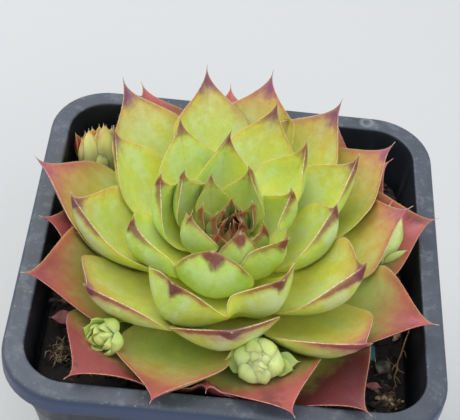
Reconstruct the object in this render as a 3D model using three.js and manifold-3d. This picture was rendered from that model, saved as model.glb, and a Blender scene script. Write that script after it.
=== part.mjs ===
// Hens and chicks (Sempervivum) in a square nursery pot.
// Millimetres, +Z up. The origin is the middle of the pot's underside, and -Y is the front.
// The mother rosette carries every leaf on a short stem. Small offset rosettes sit round it,
// each at the end of a runner. Leaves that press on each other keep a small gap.

import * as THREE from "three";
import { mergeVertices } from "three/addons/utils/BufferGeometryUtils.js";
import Module from "manifold-3d";

const wasm = await Module();
wasm.setup();

// ---- Driving dimensions ----------------------------------------------------------------

const GAP = 0.3; // clearance kept between neighbouring pieces
const LEAF_GAP = 0.5; // the same, before the corners of a leaf's facets take some of it

const POT_HEIGHT = 80;
const POT_RIM_HALF = 45; // half the outer width of the rim
const POT_OPENING_HALF = 40.5; // half the width of the opening
const POT_FOOT_HALF = 31; // half the outer width of the underside
const POT_WALL = 1.2;
const POT_FLOOR = 1.6;
const POT_SKIRT = 4.5; // how far the rim's skirt hangs down
const POT_SHOULDER_DEPTH = 15; // the stacking shoulder, below the rim
const POT_SHOULDER_STEP = 0.8;
const RIM_CORNER = 13.5;
const RIM_ROUNDING = 1.6;
const RIM_ROUNDING_STEPS = 3;
const OPENING_CORNER = 9.5;
const FOOT_CORNER = 8;
const CORNER_STEPS = 4;
const DRAIN_RADIUS = 3.5;
const DRAIN_RING = 19;
const DRAIN_COUNT = 8;
const DRAIN_FACETS = 8;

const SOIL_TOP = 68;
const SOIL_ROUGHNESS = 0.5;
const SOIL_WAVE = new THREE.Vector2(0.35, 0.41); // radians of its waves per millimetre
const SOIL_EDGE_DROP = 0.6; // how much lower the soil lies along the wall
const SOIL_SIDE_DROP = 1; // how far below the shoulder the soil starts to follow it
const SOIL_RINGS = [0.85, 0.65, 0.45, 0.25]; // rings of bumps, as shares of the soil's width

const AXIS = new THREE.Vector2(-1.5, -1.5); // the rosette's axis, in plan
const CROWN = 0.5; // height of the growing point above the rim
const STEM_DROP = 10; // height over which leaves leave the stem
const STEM_TOP_RADIUS = 1.2;
const STEM_FLARE = 6.5; // growth of the stem's radius over that height
const ROOT_DEPTH = 9;
const ROOT_END_RADIUS = 2;
const ROOT_TOP_RADIUS = 4;
const STEM_SIDES = 12;
const STEM_UNDERCUT = 1; // how much the stem draws in below its lowest leaves

const LEAF_DETAIL = { rows: 5, columns: 4 };
const SMALL_LEAF_DETAIL = { rows: 4, columns: 2 }; // in the heart and on the offsets
const LEAF_MARGIN = 0.4; // thickness of a leaf's edge
const LEAF_BASE_WIDTH = 0.34; // width at the stem, as a share of the widest
const LEAF_THICKEST = 0.55; // where a leaf is thickest, as a share of its length
const LEAF_BASE_THICKNESS = 0.55; // thickness at the stem, as a share of the thickest
const TIP_HANDLE = 0.36;
const START_HANDLE = 0.45;
const ROLL_GROWTH = 1.6; // the roll is complete at 1 / ROLL_GROWTH of the length
const BELLY_POWER = 1.7; // how evenly the thickness spreads across the blade
const SWELL_POWER = 1.1; // how soon a leaf widens past its base
const TAPER_POWER = 1.2; // how long a leaf stays thick towards its tip
const SPINE_SHARE = 0.05; // length of the fine spine at the tip, as a share of the leaf's
const HEART_CORE = 1.6;
const CORE_FACETS = [8, 5]; // of the growing point: round it, and from top to bottom

const RUNNER_RADIUS = 0.8;
const RUNNER_SIDES = 6;
const RUNNER_STEPS = 6;
const RUNNER_AGE = 0.84; // where on the stem the runners leave it, between the leaves
const RUNNER_SAG = -0.6;

// How the leaves of an offset stand, with the same meanings as in the mother's leaves.
const CLOSED = {
  age: 0.7, startSlope: 5, tipSlope: 148, pointing: 0.7, startHandle: 0.7, tipHandle: 0.5, fold: 0.5,
};
const BULGED = { ...CLOSED, startHandle: 0.85, tipHandle: 0.6 };
const NESTED = { ...CLOSED, age: 0.5, startHandle: 0.42, tipHandle: 0.4 };
const INMOST = { ...CLOSED, age: 0.2, startHandle: 0.26, tipHandle: 0.28 };
const CUPPED = { age: 0.6, startSlope: 5, tipSlope: 100, pointing: 1 };
const UPRIGHT = { age: 0.8, startSlope: 10, tipSlope: 86, pointing: 1.2 };
const OPEN = { age: 0.9, startSlope: 5, tipSlope: 55, pointing: 1.2 };
const FLAT = { age: 0.95, startSlope: 5, tipSlope: 18, pointing: 1.5 };
const CHICK_LEAF_THICKNESS = 1.1;
const CHICK_STEM_TOP_RADIUS = 0.3;
const CHICK_STEM_FLARE = 0.8;
const CHICK_CROWN = 0.4;
const CHICK_STEM_DROP = 1.5;

// Offsets round the mother. place is the offset's growing point, from the middle of the pot and
// up from its rim. It leans lean degrees from upright towards the azimuth leanTo. core holds the
// radius and the height of its closed middle. neck is how far below place the runner ends.
const CHICKS = [
  {
    name: "front_left", place: [-24.6, -29.6, 0.8], leanTo: 228, lean: 50, core: [1.6, 2.8], neck: 1.2,
    leaves: [
      { ...BULGED, azimuth: 340, reach: 3.1, rise: 2.2, halfWidth: 2.6, tipSlope: 110 },
      { ...BULGED, azimuth: 45, reach: 3.1, rise: 2.4, halfWidth: 2.6, tipSlope: 110 },
      { ...OPEN, azimuth: 149, reach: 4.5, rise: 2, halfWidth: 1.8 },
      { ...OPEN, azimuth: 198, reach: 4.1, rise: 1.5, halfWidth: 1.6 },
      { ...OPEN, azimuth: 112, reach: 4.1, rise: 2.3, halfWidth: 1.9, tipSlope: 70 },
      { ...OPEN, azimuth: 257, reach: 3.4, rise: 0.9, halfWidth: 1.9 },
      { ...OPEN, azimuth: 295, reach: 3.4, rise: 1.9, halfWidth: 2.1, tipSlope: 85 },
      { ...CUPPED, azimuth: 175, reach: 2.9, rise: 2.4, halfWidth: 1.6, tipSlope: 85 },
      { ...CUPPED, azimuth: 130, reach: 2.5, rise: 2.6, halfWidth: 1.6 },
      { ...CUPPED, azimuth: 230, reach: 2.5, rise: 2.5, halfWidth: 1.6 },
      { ...CUPPED, azimuth: 320, reach: 2.2, rise: 2.9, halfWidth: 1.7 },
      { ...CUPPED, azimuth: 60, reach: 2, rise: 3.1, halfWidth: 1.7 },
      { ...CUPPED, azimuth: 190, reach: 1.7, rise: 3.2, halfWidth: 1.2 },
      { ...CUPPED, azimuth: 10, reach: 1.1, rise: 3.6, halfWidth: 1.1 },
      { ...CUPPED, azimuth: 110, reach: 0.8, rise: 3.7, halfWidth: 1 },
    ],
  },
  {
    name: "front", place: [6.3, -32.3, 1.6], leanTo: 268, lean: 36, core: [2.6, 4.9], neck: 2.4,
    leaves: [
      { ...FLAT, azimuth: 183, reach: 6.8, rise: 0.6, halfWidth: 2.6 },
      { ...FLAT, azimuth: 350, reach: 7.2, rise: 1.8, halfWidth: 1.9 },
      { ...FLAT, azimuth: 4, reach: 8.3, rise: 1.2, halfWidth: 1.9, pointing: 1.7 },
      { ...CLOSED, azimuth: 230, reach: 1.6, rise: 4.2, halfWidth: 3.1 },
      { ...CLOSED, azimuth: 285, reach: 1.5, rise: 4.4, halfWidth: 3.2 },
      { ...BULGED, azimuth: 350, reach: 1.9, rise: 4.7, halfWidth: 3.2 },
      { ...CLOSED, azimuth: 50, reach: 1.6, rise: 4.6, halfWidth: 3.1 },
      { ...CLOSED, azimuth: 105, reach: 1.4, rise: 4.6, halfWidth: 3.1 },
      { ...BULGED, azimuth: 165, reach: 1.7, rise: 4.7, halfWidth: 3.1 },
      { ...NESTED, azimuth: 255, reach: 0.5, rise: 5, halfWidth: 2.4 },
      { ...NESTED, azimuth: 20, reach: 0.4, rise: 5.2, halfWidth: 2.4 },
      { ...NESTED, azimuth: 140, reach: 0.3, rise: 5.4, halfWidth: 2.3 },
      { ...INMOST, azimuth: 300, reach: -0.1, rise: 5.5, halfWidth: 1.6 },
      { ...INMOST, azimuth: 80, reach: -0.2, rise: 5.7, halfWidth: 1.5 },
    ],
  },
  {
    name: "right", place: [31.4, 2.4, -4.6], leanTo: 50, lean: 32, core: [1.6, 6], neck: 1,
    leaves: [
      { ...UPRIGHT, azimuth: 300, reach: 0.8, rise: 12.1, halfWidth: 3.1, tipSlope: 92, pointing: 0.9 },
      { ...UPRIGHT, azimuth: 18, reach: 3.6, rise: 8.9, halfWidth: 2.4, pointing: 0.9 },
      { ...UPRIGHT, azimuth: 121, reach: 4.1, rise: 13.5, halfWidth: 1.8, pointing: 1.6 },
      { ...UPRIGHT, azimuth: 208, reach: 3.2, rise: 7.4, halfWidth: 2.3 },
      { ...UPRIGHT, azimuth: 250, reach: 3.4, rise: 5.2, halfWidth: 2.2 },
      { ...OPEN, azimuth: 299, reach: 6.5, rise: 7.4, halfWidth: 2.4, tipSlope: 45 },
      { ...OPEN, azimuth: 13, reach: 5.3, rise: 7.9, halfWidth: 1.8, tipSlope: 70 },
      { ...UPRIGHT, azimuth: 145, reach: 3.3, rise: 10.6, halfWidth: 2 },
      { ...CUPPED, azimuth: 60, reach: 1, rise: 9.8, halfWidth: 1.6 },
      { ...CUPPED, azimuth: 180, reach: 0.8, rise: 9.8, halfWidth: 1.4 },
    ],
  },
  {
    name: "back_left", place: [-33, 28.4, -8.8], leanTo: 135, lean: 8, core: [1.8, 6], neck: 0,
    leaves: [
      { ...UPRIGHT, azimuth: 172, reach: 5.3, rise: 8.7, halfWidth: 1.8, tipSlope: 80 },
      { ...UPRIGHT, azimuth: 213, reach: 3.9, rise: 9.7, halfWidth: 2 },
      { ...UPRIGHT, azimuth: 140, reach: 4.5, rise: 7.6, halfWidth: 1.8 },
      { ...UPRIGHT, azimuth: 243, reach: 3, rise: 12.6, halfWidth: 2.3 },
      { ...UPRIGHT, azimuth: 286, reach: 2.1, rise: 11.8, halfWidth: 2.5 },
      { ...UPRIGHT, azimuth: 316, reach: 2.9, rise: 13.7, halfWidth: 2.6 },
      { ...UPRIGHT, azimuth: 338, reach: 3.9, rise: 11.7, halfWidth: 2.2 },
      { ...UPRIGHT, azimuth: 117, reach: 3.9, rise: 8.5, halfWidth: 1.8 },
      { ...UPRIGHT, azimuth: 92, reach: 3.9, rise: 8.9, halfWidth: 1.8 },
      { ...UPRIGHT, azimuth: 66, reach: 3.9, rise: 9.1, halfWidth: 1.8 },
      { ...UPRIGHT, azimuth: 34, reach: 3.9, rise: 9.9, halfWidth: 1.8 },
      { ...CUPPED, azimuth: 177, reach: 2.2, rise: 9.2, halfWidth: 1.6, tipSlope: 92 },
      { ...CUPPED, azimuth: 312, reach: 1.5, rise: 12, halfWidth: 1.6, tipSlope: 94 },
    ],
  },
];

const ROOTLET_RADIUS = 0.35;
const ROOTLET_STEPS = 8;
// From high on the pot's wall down onto the soil: x, y and the height over the soil.
const ROOTLET_ROUTE = [[39.2, -13.4, 3.2], [37.6, -18.2, 0.5], [36.8, -21.4, 0], [36.4, -26, 0]];

// Loose chips on the soil: an outline in plan, tipped and turned in degrees, then its place.
const CHIPS = [
  {
    name: "bark_chip", outline: [[-1.8, -1.5], [1.4, -1.7], [2.1, 0.4], [0.6, 1.8], [-1.7, 1.2]],
    thickness: 0.9, tip: 8, turn: 25, place: [33.7, -21.3],
  },
  {
    name: "green_chip", outline: [[-0.8, -2.1], [0.6, -1.9], [1, 1.3], [0.2, 2.2], [-0.9, 1.5]],
    thickness: 0.7, tip: -6, turn: 8, place: [31.4, -17.8],
  },
];

const DARK_PLASTIC = { color: 0x2c3036, roughness: 0.45 };
const WET_EARTH = { color: 0x1d1712, roughness: 0.95 };
const GREEN_STEM = { color: 0x8d9a54, roughness: 0.6 };
const PALE_RUNNER = { color: 0x9fb56a, roughness: 0.5 };
const HEART_GREEN = { color: 0x6f8a3a, roughness: 0.45 };
const CHICK_GREEN = { color: 0xb9cf6a, roughness: 0.45 };
const DRY_FIBRE = { color: 0x8b6c4e, roughness: 0.8 };
const CHIP_FINISHES = {
  bark_chip: { color: 0x5a4030, roughness: 0.9 },
  green_chip: { color: 0x3f6f6c, roughness: 0.9 },
};
const LEAF_ROUGHNESS = 0.42;
const YOUNG_COLOUR = new THREE.Color(0x93b32e);
const OLD_COLOUR = new THREE.Color(0xa03a35);
const REDDENING_AGE = 0.5; // leaves turn from the young colour to the old one past this age

// ---- Leaves of the mother rosette --------------------------------------------------------
// age runs from 0 at the growing point to 1 at the lowest leaf, and sets what a leaf's
// neighbours share. azimuth is anticlockwise from +X in degrees, reach is from the axis to
// the tip, rise is from the pot's rim up to the tip. roll turns the blade about its length,
// sway bends it sideways, and fold, where given, is how far its halves close up.

// Leaves of the front. Their backs face forward, and their tips point towards the front.
const DOMED = { startSlope: 15, startHandle: 0.75, tipSlope: 85, tipHandle: 0.35, pointing: 0.6 };
const FACING = { startHandle: 0.6, tipSlope: 50, tipHandle: 0.35, pointing: 1.1 };

const HEART_LEAVES = [
  { age: 0.02, azimuth: 60, reach: 1.4, rise: 10.5, halfWidth: 1.8 },
  { age: 0.04, azimuth: 308, reach: 3.4, rise: 11.5, halfWidth: 2.2 },
  { age: 0.05, azimuth: 195, reach: 3.2, rise: 11.5, halfWidth: 2.2 },
  { age: 0.06, azimuth: 246, reach: 6, rise: 11.5, halfWidth: 2.7 },
  { age: 0.08, azimuth: 172, reach: 6.2, rise: 12, halfWidth: 2.3 },
  { age: 0.1, azimuth: 94, reach: 3.2, rise: 12.5, halfWidth: 2.7 },
  { age: 0.12, azimuth: 37, reach: 5, rise: 12, halfWidth: 2.8 },
];

const INNER_LEAVES = [
  { age: 0.14, azimuth: 335, reach: 7.3, rise: 12.6, halfWidth: 3.8 },
  { ...DOMED, age: 0.16, azimuth: 285, reach: 7.8, rise: 13.5, halfWidth: 5.2, pointing: 1, fold: 0.1 },
  { age: 0.18, azimuth: 210, reach: 9.5, rise: 15.5, halfWidth: 5.8, roll: 12 },
  { age: 0.21, azimuth: 121, reach: 9.5, rise: 14, halfWidth: 4.2, roll: -12 },
  { ...FACING, age: 0.24, azimuth: 318, reach: 14.6, rise: 13.8, halfWidth: 6, sway: 2 },
  { age: 0.25, azimuth: 68, reach: 10.5, rise: 15.3, halfWidth: 5.8, roll: -6, sway: 1.5, fold: 0.58 },
  {
    ...DOMED, age: 0.28, azimuth: 260, reach: 14, rise: 13.8, halfWidth: 8.5,
    roll: 6, sway: -1, fold: 0.05,
  },
  { age: 0.3, azimuth: 25, reach: 13.2, rise: 14.8, halfWidth: 5.6, roll: -8, fold: 0.7, thickness: 3 },
  { age: 0.31, azimuth: 146, reach: 13, rise: 15.2, halfWidth: 6.6, roll: -6, fold: 0.6, thickness: 2.6 },
];

const MIDDLE_LEAVES = [
  {
    age: 0.36, azimuth: 168, reach: 16.3, rise: 15.6, halfWidth: 8,
    roll: -14, sway: -2, fold: 0.6, thickness: 3,
  },
  { age: 0.38, azimuth: 199, reach: 21.2, rise: 15.1, halfWidth: 9.3, roll: 13, fold: 0.25 },
  { age: 0.42, azimuth: 102, reach: 19.4, rise: 16.5, halfWidth: 6.2, sway: -2.5, fold: 0.5 },
  {
    ...FACING, age: 0.44, azimuth: 247, reach: 27.3, rise: 16.4, halfWidth: 9.8,
    roll: -10, fold: 0.25, startSlope: 8, startHandle: 0.72, tipSlope: 60, pointing: 0.8,
  },
  { age: 0.46, azimuth: 52, reach: 24.3, rise: 16, halfWidth: 7, roll: -14, fold: 0.6, thickness: 3.2 },
  {
    ...FACING, age: 0.48, azimuth: 292, reach: 24.8, rise: 17, halfWidth: 8.8,
    roll: 15, sway: 2, fold: 0.3, pointing: 0.9,
  },
  { age: 0.5, azimuth: 120, reach: 26, rise: 16, halfWidth: 7.5, fold: 0.2 },
  { age: 0.52, azimuth: 3, reach: 21.6, rise: 16, halfWidth: 9, roll: -14, fold: 0.3 },
  { age: 0.54, azimuth: 31, reach: 30.8, rise: 16.5, halfWidth: 9, roll: -15, fold: 0.5, thickness: 3.2 },
  { age: 0.56, azimuth: 148, reach: 32, rise: 16.5, halfWidth: 8.6, roll: 13, fold: 0.25, thickness: 3 },
  { age: 0.58, azimuth: 77, reach: 32.5, rise: 16, halfWidth: 8.5, roll: -7, sway: -1, fold: 0.42 },
];

const OUTER_LEAVES = [
  { age: 0.6, azimuth: 329, reach: 31.3, rise: 16.5, halfWidth: 11.5, roll: 6, sway: 1.5 },
  { age: 0.62, azimuth: 186, reach: 33.8, rise: 16.2, halfWidth: 10, fold: 0.55 },
  { age: 0.64, azimuth: 101.5, reach: 42.5, rise: 15.3, halfWidth: 9.8, roll: 14, fold: 0.28 },
  {
    ...FACING, age: 0.66, azimuth: 271, reach: 35.2, rise: 15.4, halfWidth: 11,
    roll: 10, sway: 1, fold: 0.15, tipSlope: 42,
  },
  { age: 0.68, azimuth: 128, reach: 44.2, rise: 15, halfWidth: 10.8, roll: 8, fold: 0.32 },
  { age: 0.7, azimuth: 57, reach: 42.4, rise: 14.5, halfWidth: 11.2, roll: -15, fold: 0.6 },
  { age: 0.71, azimuth: 222.5, reach: 37.8, rise: 14, halfWidth: 13, roll: 6, fold: 0.18 },
  { age: 0.74, azimuth: 83.5, reach: 44.8, rise: 13.6, halfWidth: 11.3, roll: -19, sway: -2, fold: 0.42 },
  { age: 0.75, azimuth: 311, reach: 43.7, rise: 13.5, halfWidth: 11.2, roll: -13 },
  { age: 0.78, azimuth: 36, reach: 43.6, rise: 11.8, halfWidth: 12.8, roll: -13, fold: 0.33 },
  { age: 0.79, azimuth: 10.5, reach: 39, rise: 11.6, halfWidth: 11.6, roll: 5, sway: -0.7, fold: 0.15 },
  { age: 0.8, azimuth: 166, reach: 44.7, rise: 11, halfWidth: 12.8, roll: 14, fold: 0.17 },
];

const LOWEST_LEAVES = [
  { age: 0.88, azimuth: 60, reach: 47.2, rise: 7.1, halfWidth: 12.7 },
  { age: 0.89, azimuth: 252, reach: 48, rise: 6.3, halfWidth: 12, roll: 10, sway: 2.5, fold: 0.28 },
  { age: 0.9, azimuth: 203, reach: 45.2, rise: 6, halfWidth: 12.2, roll: -13, fold: 0.35 },
  { age: 0.91, azimuth: 334.5, reach: 48.4, rise: 6, halfWidth: 10.8, roll: 13, fold: 0.4 },
  { age: 0.92, azimuth: 118, reach: 50.8, rise: 5.4, halfWidth: 12.2, roll: 10 },
  { age: 0.925, azimuth: 93, reach: 47.4, rise: 5.3, halfWidth: 11.6 },
  { age: 0.93, azimuth: 12, reach: 46.7, rise: 5.4, halfWidth: 12.5, roll: 13, fold: 0.4 },
  { age: 0.94, azimuth: 285, reach: 48.5, rise: 5.8, halfWidth: 11.8, roll: 11, sway: 2.5 },
  { age: 0.95, azimuth: 37.5, reach: 45.6, rise: 4.6, halfWidth: 12.3 },
  { age: 0.96, azimuth: 180, reach: 40.8, rise: 4, halfWidth: 12 },
  { age: 0.97, azimuth: 234.5, reach: 50.6, rise: 4, halfWidth: 13, fold: 0.1 },
  { age: 0.985, azimuth: 267, reach: 41, rise: 3.5, halfWidth: 12.5 },
  { age: 1, azimuth: 305.5, reach: 51.8, rise: 2.8, halfWidth: 12.2, roll: 13 },
];

// ---- Traits that follow a leaf's age -------------------------------------------------------

const AGES = [0, 0.1, 0.2, 0.3, 0.45, 0.6, 0.7, 0.8, 0.9, 1];
const START_SLOPES = [60, 50, 38, 24, 15, 10, 8, 5, 2, -2]; // degrees up from level, at the stem
const TIP_SLOPES = [98, 96, 96, 96, 88, 74, 60, 42, 24, 10]; // degrees up from level, at the tip
const FOLDS = [0.45, 0.45, 0.45, 0.45, 0.42, 0.38, 0.32, 0.27, 0.22, 0.15];
const THICKNESSES = [1.3, 1.8, 2.8, 3.8, 4.4, 4.2, 3.8, 3.4, 3, 2.6];
const WIDEST_AT = [0.48, 0.48, 0.48, 0.5, 0.53, 0.58, 0.6, 0.62, 0.62, 0.62]; // share of the length
const TIP_POINTINGS = [2.6, 2.6, 2.6, 2.5, 2.1, 1.8, 1.8, 1.8, 1.8, 1.8];

// The value at age, read off a line through the values listed against AGES.
function atAge(values, age) {
  let upper = 1;
  while (AGES[upper] < age) upper += 1;
  const share = (age - AGES[upper - 1]) / (AGES[upper] - AGES[upper - 1]);
  return values[upper - 1] + share * (values[upper] - values[upper - 1]);
}

// ---- Solids --------------------------------------------------------------------------------

// A closed geometry through loops of points, each anticlockwise as seen from the next loop.
// Both ends are closed with strips across the loop.
function loft(loops) {
  const count = loops[0].length;
  const positions = loops.flat().flatMap((point) => [point.x, point.y, point.z]);
  const faces = [];
  for (let row = 0; row < loops.length - 1; row += 1) {
    for (let i = 0; i < count; i += 1) {
      const here = row * count + i;
      const next = row * count + ((i + 1) % count);
      faces.push(here, next, next + count, here, next + count, here + count);
    }
  }
  const last = (loops.length - 1) * count;
  for (let i = 0; i < count / 2 - 1; i += 1) {
    const opposite = count - 1 - i;
    faces.push(i, opposite - 1, i + 1, i, opposite, opposite - 1);
    faces.push(last + i, last + i + 1, last + opposite - 1);
    faces.push(last + i, last + opposite - 1, last + opposite);
  }
  const geometry = new THREE.BufferGeometry();
  geometry.setAttribute("position", new THREE.Float32BufferAttribute(positions, 3));
  geometry.setIndex(faces);
  return geometry;
}

function toSolid(geometry) {
  const bare = geometry.clone();
  bare.deleteAttribute("normal");
  bare.deleteAttribute("uv");
  const merged = mergeVertices(bare, 1e-4);
  const vertProperties = merged.attributes.position.array;
  const triVerts = new Uint32Array(merged.index.array);
  return new wasm.Manifold(new wasm.Mesh({ numProp: 3, vertProperties, triVerts }));
}

function toGeometry(solid) {
  const mesh = solid.getMesh();
  const geometry = new THREE.BufferGeometry();
  geometry.setAttribute("position", new THREE.BufferAttribute(mesh.vertProperties, 3));
  geometry.setIndex(new THREE.BufferAttribute(mesh.triVerts, 1));
  geometry.computeVertexNormals();
  return geometry;
}

function largestBody(solid) {
  const bodies = solid.decompose();
  return bodies.reduce((best, body) => (body.volume() > best.volume() ? body : best));
}

function union(solids) {
  return solids.reduce((whole, solid) => whole.add(solid));
}

// A rod along the route. The radius may be grown to cut room for it.
function rod(route, radius, sides, steps) {
  const corners = Array.from({ length: sides }, (_, index) => {
    const angle = (index / sides) * 2 * Math.PI;
    return new THREE.Vector2(radius * Math.cos(angle), radius * Math.sin(angle));
  });
  const settings = { steps, bevelEnabled: false, extrudePath: new THREE.CatmullRomCurve3(route) };
  return toSolid(new THREE.ExtrudeGeometry(new THREE.Shape(corners), settings));
}

// ---- Pot -------------------------------------------------------------------------------------

// A level loop of a square with round corners.
function roundedSquare(half, corner, z) {
  const loop = [];
  for (let quarter = 0; quarter < 4; quarter += 1) {
    for (let step = 0; step <= CORNER_STEPS; step += 1) {
      const angle = (quarter + step / CORNER_STEPS) * (Math.PI / 2);
      const middle = (quarter + 0.5) * (Math.PI / 2);
      const inset = (half - corner) * Math.SQRT2;
      const x = inset * Math.cos(middle) + corner * Math.cos(angle);
      const y = inset * Math.sin(middle) + corner * Math.sin(angle);
      loop.push(new THREE.Vector3(x, y, z));
    }
  }
  return loop;
}

const SHOULDER_Z = POT_HEIGHT - POT_SHOULDER_DEPTH;
const SHOULDER_HALF = POT_OPENING_HALF - POT_SHOULDER_STEP;
const FLOOR_HALF = POT_FOOT_HALF - POT_WALL;

// Half the inner width and the corner radius of the pot at a height below the shoulder.
function innerWall(z) {
  const share = (z - POT_FLOOR) / (SHOULDER_Z - POT_FLOOR);
  const half = FLOOR_HALF + share * (SHOULDER_HALF - POT_SHOULDER_STEP - FLOOR_HALF);
  const corner = FOOT_CORNER - POT_WALL + share * (OPENING_CORNER - FOOT_CORNER);
  return { half, corner };
}

function drainHole(index) {
  const angle = ((index + 0.5) / DRAIN_COUNT) * 2 * Math.PI;
  const hole = new THREE.CylinderGeometry(DRAIN_RADIUS, DRAIN_RADIUS, 4 * POT_FLOOR, DRAIN_FACETS);
  hole.rotateX(Math.PI / 2);
  hole.translate(DRAIN_RING * Math.cos(angle), DRAIN_RING * Math.sin(angle), 0);
  return toSolid(hole);
}

// The loops over the rim's rounded outer edge.
function rimRounding() {
  return Array.from({ length: RIM_ROUNDING_STEPS + 1 }, (_, step) => {
    const angle = (step / RIM_ROUNDING_STEPS) * (Math.PI / 2);
    const inset = RIM_ROUNDING * (1 - Math.cos(angle));
    const z = POT_HEIGHT - RIM_ROUNDING * (1 - Math.sin(angle));
    return roundedSquare(POT_RIM_HALF - inset, RIM_CORNER - inset, z);
  });
}

function potSolid() {
  const outerHalf = (inner) => inner + POT_WALL;
  const shoulder = innerWall(SHOULDER_Z);
  const skirtZ = POT_HEIGHT - POT_SKIRT;
  const underRimZ = POT_HEIGHT - POT_WALL;
  const loops = [
    roundedSquare(POT_FOOT_HALF, FOOT_CORNER, 0),
    roundedSquare(outerHalf(shoulder.half), shoulder.corner + POT_WALL, SHOULDER_Z - POT_WALL),
    roundedSquare(outerHalf(SHOULDER_HALF), OPENING_CORNER + POT_WALL, SHOULDER_Z),
    roundedSquare(outerHalf(POT_OPENING_HALF), OPENING_CORNER + POT_WALL, underRimZ),
    roundedSquare(POT_RIM_HALF - POT_WALL, RIM_CORNER - POT_WALL, underRimZ),
    roundedSquare(POT_RIM_HALF - POT_WALL, RIM_CORNER - POT_WALL, skirtZ),
    roundedSquare(POT_RIM_HALF, RIM_CORNER, skirtZ),
    ...rimRounding(),
    roundedSquare(POT_OPENING_HALF, OPENING_CORNER, POT_HEIGHT),
    roundedSquare(SHOULDER_HALF, OPENING_CORNER, SHOULDER_Z),
    roundedSquare(shoulder.half, shoulder.corner, SHOULDER_Z - POT_WALL),
    roundedSquare(FLOOR_HALF, FOOT_CORNER - POT_WALL, POT_FLOOR),
  ];
  const holes = Array.from({ length: DRAIN_COUNT }, (_, index) => drainHole(index));
  return toSolid(loft(loops)).subtract(union(holes));
}

// ---- Stem and soil ---------------------------------------------------------------------------

function stemRadius(age) {
  return STEM_TOP_RADIUS + STEM_FLARE * age;
}

function stemHeight(age) {
  return CROWN - STEM_DROP * age;
}

// The short stem with the stub of its root. grow widens it, to cut room for it.
function stemSolid(grow) {
  const foot = POT_HEIGHT + stemHeight(1);
  const head = POT_HEIGHT + stemHeight(0);
  const profile = [
    [0, SOIL_TOP - ROOT_DEPTH - grow],
    [ROOT_END_RADIUS + grow, SOIL_TOP - ROOT_DEPTH - grow],
    [ROOT_TOP_RADIUS + grow, SOIL_TOP - STEM_UNDERCUT],
    [stemRadius(1) - STEM_UNDERCUT + grow, foot - STEM_UNDERCUT],
    [stemRadius(1) + grow, foot],
    [stemRadius(0) + grow, head + grow],
    [0, head + GAP + grow],
  ];
  const stem = new THREE.LatheGeometry(profile.map(([r, z]) => new THREE.Vector2(r, z)), STEM_SIDES);
  stem.rotateX(Math.PI / 2);
  stem.translate(AXIS.x, AXIS.y, 0);
  return toSolid(stem);
}

// The space that the pot's rim needs, so that leaves lie over it and not in it.
function rimRoom() {
  const low = POT_HEIGHT - POT_SKIRT - GAP;
  const high = POT_HEIGHT + GAP;
  const outer = [low, high].map((z) => roundedSquare(POT_RIM_HALF + GAP, RIM_CORNER, z));
  const openHalf = POT_OPENING_HALF - POT_SHOULDER_STEP - GAP;
  const inner = [low - GAP, high + GAP].map((z) => roundedSquare(openHalf, OPENING_CORNER, z));
  return toSolid(loft(outer)).subtract(toSolid(loft(inner)));
}

// The soil's surface away from its edge.
function soilHeight(x, y) {
  return SOIL_TOP + SOIL_ROUGHNESS * Math.cos(SOIL_WAVE.x * x) * Math.cos(SOIL_WAVE.y * y);
}

function soilSolid() {
  const loops = [];
  for (const z of [POT_FLOOR + GAP, SHOULDER_Z - POT_WALL - SOIL_SIDE_DROP]) {
    const wall = innerWall(z);
    loops.push(roundedSquare(wall.half - GAP, wall.corner - GAP, z));
  }
  const topHalf = SHOULDER_HALF - POT_SHOULDER_STEP - GAP;
  const edge = roundedSquare(topHalf, OPENING_CORNER - GAP, SOIL_TOP - SOIL_EDGE_DROP);
  loops.push(edge);
  for (const share of SOIL_RINGS) {
    const ring = edge.map(({ x, y }) => {
      return new THREE.Vector3(share * x, share * y, soilHeight(share * x, share * y));
    });
    loops.push(ring);
  }
  return toSolid(loft(loops)).subtract(stemSolid(GAP));
}

// ---- Leaves ------------------------------------------------------------------------------------

const radians = THREE.MathUtils.degToRad;

// Width at t as a share of the widest: drawn in past the widest place, down to a fine spine.
function widthShare(t, widest, pointing) {
  if (t < widest) {
    const swell = Math.sin((t / widest) * (Math.PI / 2)) ** SWELL_POWER;
    return LEAF_BASE_WIDTH + (1 - LEAF_BASE_WIDTH) * swell;
  }
  const past = Math.min((t - widest) / (1 - widest), 1);
  const spine = 1 - Math.exp(-(1 - t) / SPINE_SHARE);
  return spine * Math.max(Math.cos(past * (Math.PI / 2)), 0) ** pointing;
}

// Thickness at t as a share of the thickest.
function thicknessShare(t) {
  if (t < LEAF_THICKEST) {
    const swell = Math.sin((t / LEAF_THICKEST) * (Math.PI / 2));
    return LEAF_BASE_THICKNESS + (1 - LEAF_BASE_THICKNESS) * swell;
  }
  const past = Math.min((t - LEAF_THICKEST) / (1 - LEAF_THICKEST), 1);
  return Math.max(Math.cos(past * (Math.PI / 2)), 0) ** TAPER_POWER;
}

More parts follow.
